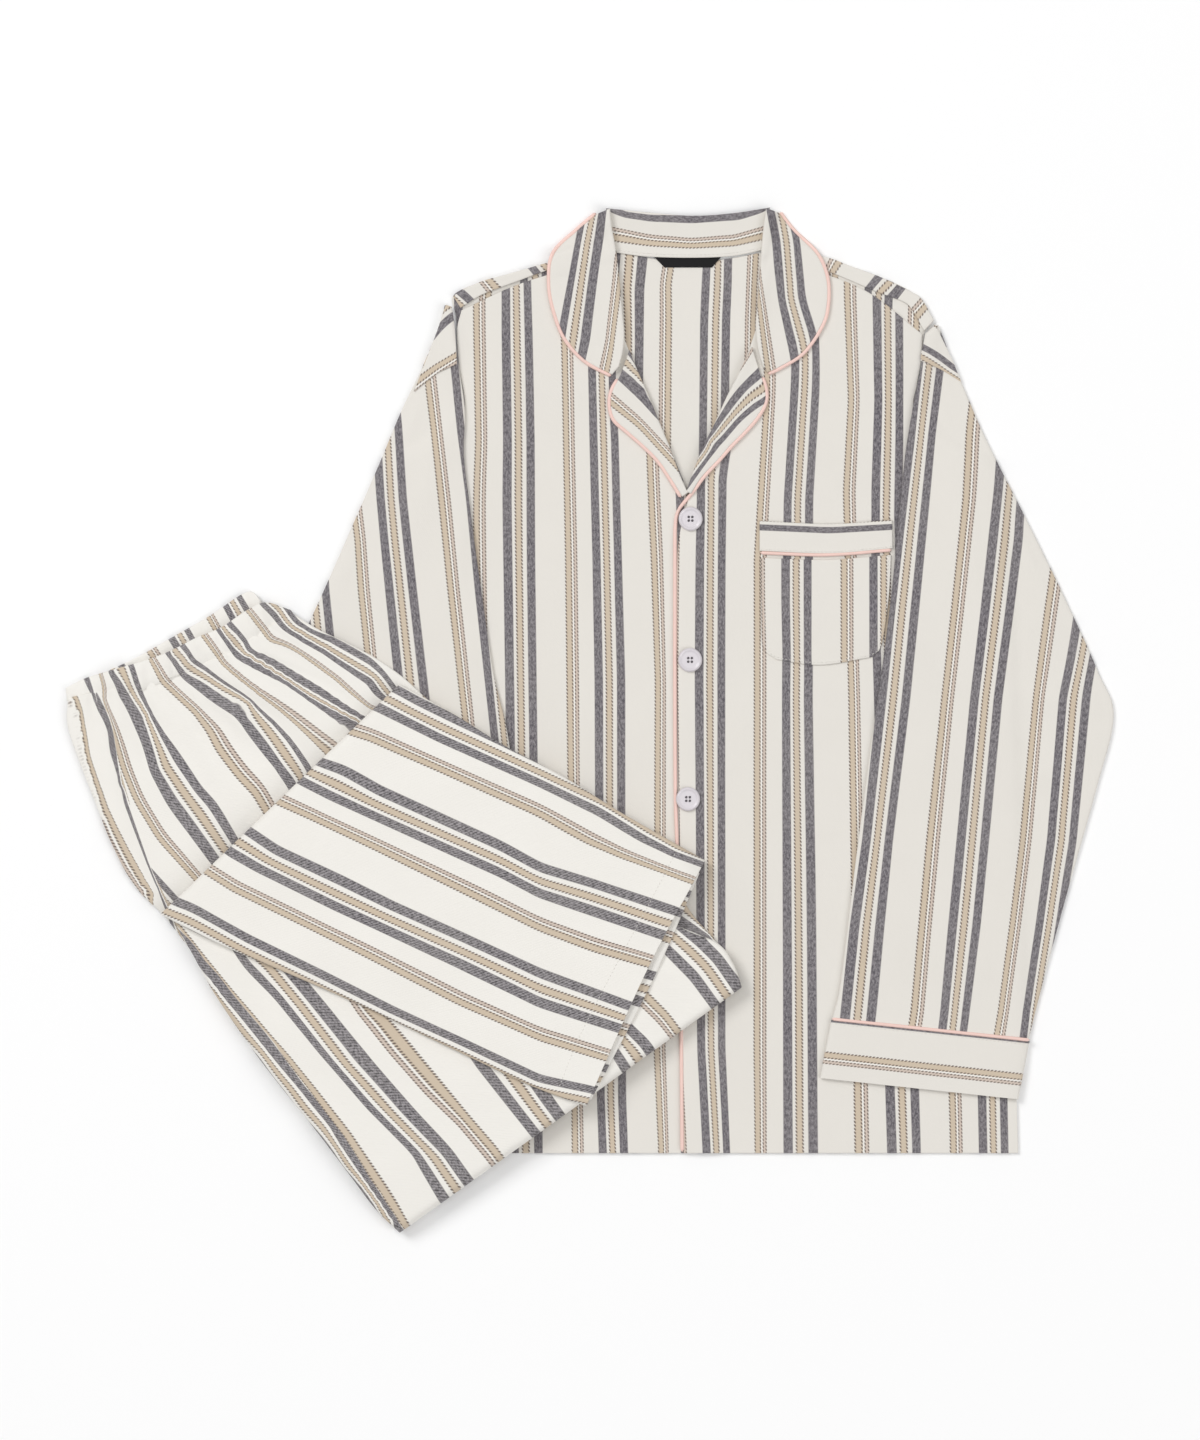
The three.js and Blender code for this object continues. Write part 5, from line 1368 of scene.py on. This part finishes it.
class PYJAMA_OT_pocket(bpy.types.Operator):
    """The chest pocket, its band and its piping."""

    bl_idname = "pyjama.pocket"
    bl_label = "Pocket"

    def execute(self, context):
        cloth = finish("top_cloth")
        pocket, _, cut = pillow(
            "pocket", POCKET_ROWS, cloth, POCKET_GUIDES, on=("front_right",), reach=0.006,
            thickness=sizes().cloth, relief=calm(0.0005, 0.05, 11), cell=FINE_CELL)
        declare(pocket, ["pocket"], cut)
        band, _, cut = pillow(
            "pocket_band", POCKET_BAND_ROWS, cloth, POCKET_BAND_GUIDES, on=("front_right", "pocket"),
            reach=0.006, thickness=0.0017, rim=0.0008, relief=calm(0.0003, 0.04, 12), cell=FINE_CELL)
        path = smooth_line(POCKET_PIPING, 60) + np.array([0, 0.0016])
        rise = sample(support(("pocket", "front_right"), 0.004), path) + 0.0008
        cord = tube("piping_pocket", np.column_stack([path, rise]), TRIM_CORD, finish("pink_satin"))
        finish_part(cord, ["piping_pocket"])
        declare(band, ["pocket_band"], cut)
        return {"FINISHED"}


def button_mesh(name, centre, floor, radius, material):
    """Button on polar rings: a raised rim, a dished middle and four holes, each a smooth well in it."""
    thick, dish, foot = 0.0024, 0.0003, 0.0004
    hole_place, hole_radius, hole_depth = 0.0019, 0.00105, 0.0014
    outer = [0.965, 0.985, 1.0, 1.0]
    share = np.concatenate([[0.0], np.linspace(0.03, 0.5, 34), np.linspace(0.54, 0.94, 10), outer])
    angle = np.linspace(0, 2 * math.pi, 120, endpoint=False)
    reach = share * radius
    x = reach[:, None] * np.cos(angle)
    y = reach[:, None] * np.sin(angle)
    rim = 0.0007 * np.exp(-(((reach - radius * 0.84) / 0.0009) ** 2))
    edge = 0.0009 * (1 - rounded(radius - reach, 0.0012))
    height = np.repeat((thick - dish + rim - edge)[:, None], len(angle), axis=1)
    hole = np.zeros_like(x)
    for turn in (0.25, 0.75, 1.25, 1.75):
        gap = np.hypot(x - hole_place * math.cos(turn * math.pi), y - hole_place * math.sin(turn * math.pi))
        hole = np.maximum(hole, np.clip((hole_radius - gap) / 0.0003, 0, 1))
    height -= hole * hole_depth
    height[-1] = foot
    points = np.dstack([x + centre[0], y + centre[1], height + floor]).reshape(-1, 3)
    numbers = np.arange(len(points)).reshape(len(share), -1)
    numbers[0] = 0
    numbers = np.hstack([numbers, numbers[:, :1]])
    polygons = [tuple(dict.fromkeys(face)) for face in grid_faces(numbers).tolist()]
    polygons.append(tuple(numbers[-1, :-1].tolist()))
    used, compact = np.unique(np.concatenate([np.array(face) for face in polygons]), return_inverse=True)
    ends = np.cumsum([len(face) for face in polygons])[:-1]
    mesh = bpy.data.meshes.new(name)
    mesh.from_pydata(points[used].tolist(), [], [part.tolist() for part in np.split(compact, ends)])
    # The hole mask is also the mask of the painted shade in the holes.
    depth = mesh.attributes.new("hole", "FLOAT", "POINT")
    depth.data.foreach_set("value", hole.ravel()[used].astype(np.float32))
    mesh.shade_smooth()
    mesh.materials.append(material)
    face_out(mesh)
    return link(name, mesh)


class PYJAMA_OT_buttons(bpy.types.Operator):
    """The four buttons of the placket."""

    bl_idname = "pyjama.buttons"
    bl_label = "Buttons"

    def execute(self, context):
        field = support(("front_left", "front_right"), 0)
        for name, place in BUTTONS.items():
            centre = to_metres([place])[0]
            floor = float(sample(field, centre)) + GAP
            button = button_mesh(f"shown_{name}", centre, floor, sizes().button, finish("button_plastic"))
            finish_part(button, [name])
        return {"FINISHED"}


class PYJAMA_OT_trousers(bpy.types.Operator):
    """The trousers' waist casing and both legs, laid in three passes that fold over each other."""

    bl_idname = "pyjama.trousers"
    bl_label = "Trousers"

    def execute(self, context):
        twill = finish("trouser_twill")
        leg = sizes().leg
        ground = tuple(name for name in TOP_PIECES if name in laid)
        laid["ground"] = support(ground, TROUSER_FALL)

        back_band = gathers(0.0010, 15, 4)
        waist_back, _, cut = pillow(
            "waist_back", WAIST_BACK_ROWS, twill, WAIST_BACK_GUIDES, on=("ground",), thickness=0.0028,
            relief=lambda plan, a, start, side: back_band(start / start[-1:], a), rim=0.0014, cell=FINE_CELL,
            wall=0.0007)
        declare(waist_back, ["waistband_back"], cut, sides=2)

        far, _, cut = pillow(
            "far_leg_waist", UPPER_ROWS, twill, UPPER_GUIDES, on=("ground",), thickness=leg, rim=HIDDEN_RIM,
            inset=(0.008, 0.008, 0.02), cell=0.006, wall=WALL)
        declare(far, ["trouser_hidden_layers"], cut, sides=2)

        pull = gathers(0.0024, 17, 6, fade=0.024)

        def waist_relief(plan, from_a, from_start, side):
            place = from_a / from_a[:, -1:]
            total = creases_at(plan, WAIST_FOLDS) + pull(place, from_start) + waves_at(plan, 0.0007, 0.08, 14)
            return total * np.clip(side / 0.010, 0.2, 1)

        near, _, cut = pillow(
            "near_leg_waist", UPPER_ROWS, twill, UPPER_GUIDES, on=("ground", "far_leg_waist"), reach=0.018,
            grip=CLOSE, thickness=leg, rim=0.0020, relief=waist_relief, wall=WALL, seam=SIDE_SEAM,
            seam_stripes=BACK_EDGE_GUIDES)
        declare(near, ["trouser_front", "trouser_back_edge"], cut, sides=2)

        band = gathers(0.0022, 19, 9)
        waist, _, cut = pillow(
            "waist_front", WAIST_ROWS, twill, UPPER_GUIDES, on=("ground", "waist_back"), grip=CLOSE,
            relief=lambda plan, a, start, side: band(start / start[-1:], a) * np.clip(a / 0.006, 0.35, 1),
            thickness=0.0042, rim=0.0022, wall=WALL, cell=FINE_CELL)
        declare(waist, ["waistband_front"], cut, sides=2)

        under = ("ground", "far_leg_waist", "near_leg_waist")
        inner, _, cut = pillow(
            "near_leg_turned", TURNED_ROWS, twill, TURNED_GUIDES, on=under, reach=0.018, grip=CLOSE,
            thickness=leg, rim=HIDDEN_RIM, inset=(0.008, 0.02, 0.02), cell=0.006, wall=WALL)
        declare(inner, ["trouser_hidden_layers"], cut, sides=2)
        under += ("near_leg_turned",)
        turned, _, cut = pillow(
            "far_leg_turned_over", TURNED_ROWS, twill, TURNED_GUIDES, on=under, reach=0.024, grip=CLOSE,
            thickness=leg, rim=0.0022, fold=0.0060, wall=WALL, relief=calm(0.0006, 0.09, 15, TURNED_CREASES),
            seam=TURNED_SEAM, seam_stripes=TURNED_EDGE_GUIDES)
        declare(turned, ["far_leg_turned"], cut, sides=2)

        under += ("far_leg_turned_over",)
        hem_rows = LOWER_ROWS[:-1] + rows((700, 872, 590, 1101, 651, 983))
        far_low, _, cut = pillow(
            "far_leg_lower", hem_rows, twill, FAR_HEM_GUIDES, on=under, reach=0.018, grip=CLOSE,
            thickness=leg, rim=HIDDEN_RIM, fold=0.0012, wall=WALL, cell=0.004, inset=(0.006, 0.03, 0))
        declare(far_low, ["far_leg_hem"], cut, sides=2)
        under += ("far_leg_lower",)
        lower, _, cut = pillow(
            "near_leg_hem", LOWER_ROWS, twill, LOWER_GUIDES, on=under, reach=0.024, grip=CLOSE, thickness=leg,
            rim=0.0022, fold=0.0050, wall=WALL, open_end=True, relief=calm(0.0006, 0.09, 16, LOWER_CREASES))
        declare(lower, ["near_leg_lower"], cut, sides=2)
        return {"FINISHED"}


def inner_line(lines, share, along=True, margin=0.0):
    """Plan line inside a piece: along v at one share across, or across u at one share along."""
    place = np.linspace(margin, 1 - margin, 60)
    fixed = np.array([share])
    grid = plan_grid(lines, fixed, place) if along else plan_grid(lines, place, fixed)
    return grid.reshape(-1, 2)


class PYJAMA_OT_stitches(bpy.types.Operator):
    """Lines of stitches: hem, pocket, collar seam and cuffs of the top, hem and casing of the trousers."""

    bl_idname = "pyjama.stitches"
    bl_label = "Stitches"

    def execute(self, context):
        pocket = np.vstack([
            smooth_line([(763.5, 560), (764, 600), (765.5, 645)], 30),
            smooth_line([(766, 648), (778, 657.5), (820, 662.5), (870, 655), (879, 646)], 40),
            smooth_line([(879.5, 643), (886.2, 600), (888.5, 557)], 30),
        ])
        top = [
            smooth_line([(708, 1131), (850, 1131.5), (1014, 1131)], 60),
            smooth_line([(520, 1131), (600, 1131), (683, 1131)], 40),
            pocket,
            smooth_line([(762, 549.5), (830, 551.8), (890, 547)], 30),
            inner_line(COLLAR_BACK_ROWS, 0.93, margin=0.03),
        ]
        under_top = ("back", "front_left", "front_right", "pocket", "pocket_band", "collar_back")
        cuffs = [inner_line(CUFFS[side][0], 0.06, along=False, margin=0.03) for side in ("right", "left")]
        leg_hem = smooth_line([(676, 851), (648, 905), (614, 968), (580, 1035), (560, 1084)], 80)
        casing = inner_line(WAIST_ROWS, 0.88, margin=0.02)
        for name, paths, under, slot in (
            ("top", top, under_top, "cloth"),
            ("cuffs", cuffs, ("cuff_left", "cuff_right"), "cloth"),
            ("leg_hem", [leg_hem], ("near_leg_hem",), "trouser_cloth"),
            ("casing", [casing], ("waist_front",), "trouser_cloth"),
        ):
            piece = stitches(f"stitches_{name}", paths, under, finish("white_thread"))
            finish_part(piece, [])
        return {"FINISHED"}


class PYJAMA_OT_stage(bpy.types.Operator):
    """Pale floor, soft studio lights, and the camera straight above as in the photograph."""

    bl_idname = "pyjama.stage"
    bl_label = "Stage"

    def execute(self, context):
        scene = context.scene
        reach = 3.0
        corners = [(-reach, -reach, 0), (reach, -reach, 0), (reach, reach, 0), (-reach, reach, 0)]
        mesh = bpy.data.meshes.new("floor")
        mesh.from_pydata(corners, [], [(0, 1, 2, 3)])
        mesh.materials.append(finish("floor_paper"))
        link("floor", mesh)

        for name, place, size, watts in (
            ("key_light", (-4.2, 3.2, 5.4), 3.0, 262),
            ("fill_light", (4.6, -2.4, 4.6), 4.0, 120),
            ("top_light", (0.5, 0.6, 6.0), 4.0, 60),
        ):
            light = bpy.data.lights.new(name, "AREA")
            light.size = size
            light.energy = watts
            lamp = link(name, light)
            lamp.location = place
            x, y, z = place
            lamp.rotation_euler = (math.atan2(math.hypot(x, y), z), 0, math.atan2(-y, -x) - math.pi / 2)
        world = bpy.data.worlds.new("studio")
        world.use_nodes = True
        sky = world.node_tree.nodes["Background"].inputs
        sky["Color"].default_value = (1, 1, 1, 1)
        sky["Strength"].default_value = 0.45
        scene.world = world
        scene.view_settings.view_transform = "Standard"

        lens = bpy.data.cameras.new("camera")
        lens.lens = 250
        lens.sensor_width = 36
        camera = link("camera", lens)
        centre = to_metres([(600, 720)])[0]
        camera.location = (centre[0], centre[1], 1440 * STEP * lens.lens / lens.sensor_width)
        scene.camera = camera
        return {"FINISHED"}


PIECES = (
    PYJAMA_OT_back, PYJAMA_OT_fronts, PYJAMA_OT_sleeves, PYJAMA_OT_collar, PYJAMA_OT_pocket,
    PYJAMA_OT_buttons, PYJAMA_OT_trousers, PYJAMA_OT_stitches, PYJAMA_OT_stage,
)


class PYJAMA_PT_panel(bpy.types.Panel):
    """The set's sizes, colours and pieces."""

    bl_label = "Pyjama set"
    bl_idname = "PYJAMA_PT_panel"
    bl_space_type = "VIEW_3D"
    bl_region_type = "UI"
    bl_category = "Pyjamas"

    def draw(self, context):
        for group in (context.scene.pyjama_sizes, context.scene.pyjama_colours):
            box = self.layout.box()
            for name in group.bl_rna.properties.keys():
                if name not in ("rna_type", "name"):
                    box.prop(group, name)
        for piece in PIECES:
            self.layout.operator(piece.bl_idname)


CLASSES = (PyjamaSizes, PyjamaColours, *PIECES, PYJAMA_PT_panel)


def register():
    """Makes the groups, operators and panel known to Blender."""
    for item in CLASSES:
        bpy.utils.register_class(item)
    bpy.types.Scene.pyjama_sizes = PointerProperty(type=PyjamaSizes)
    bpy.types.Scene.pyjama_colours = PointerProperty(type=PyjamaColours)


def unregister():
    """Takes them away again."""
    del bpy.types.Scene.pyjama_colours
    del bpy.types.Scene.pyjama_sizes
    for item in reversed(CLASSES):
        bpy.utils.unregister_class(item)


def main():
    register()
    for piece in PIECES:
        group, name = piece.bl_idname.split(".")
        getattr(getattr(bpy.ops, group), name)()


if __name__ == "__main__":
    main()
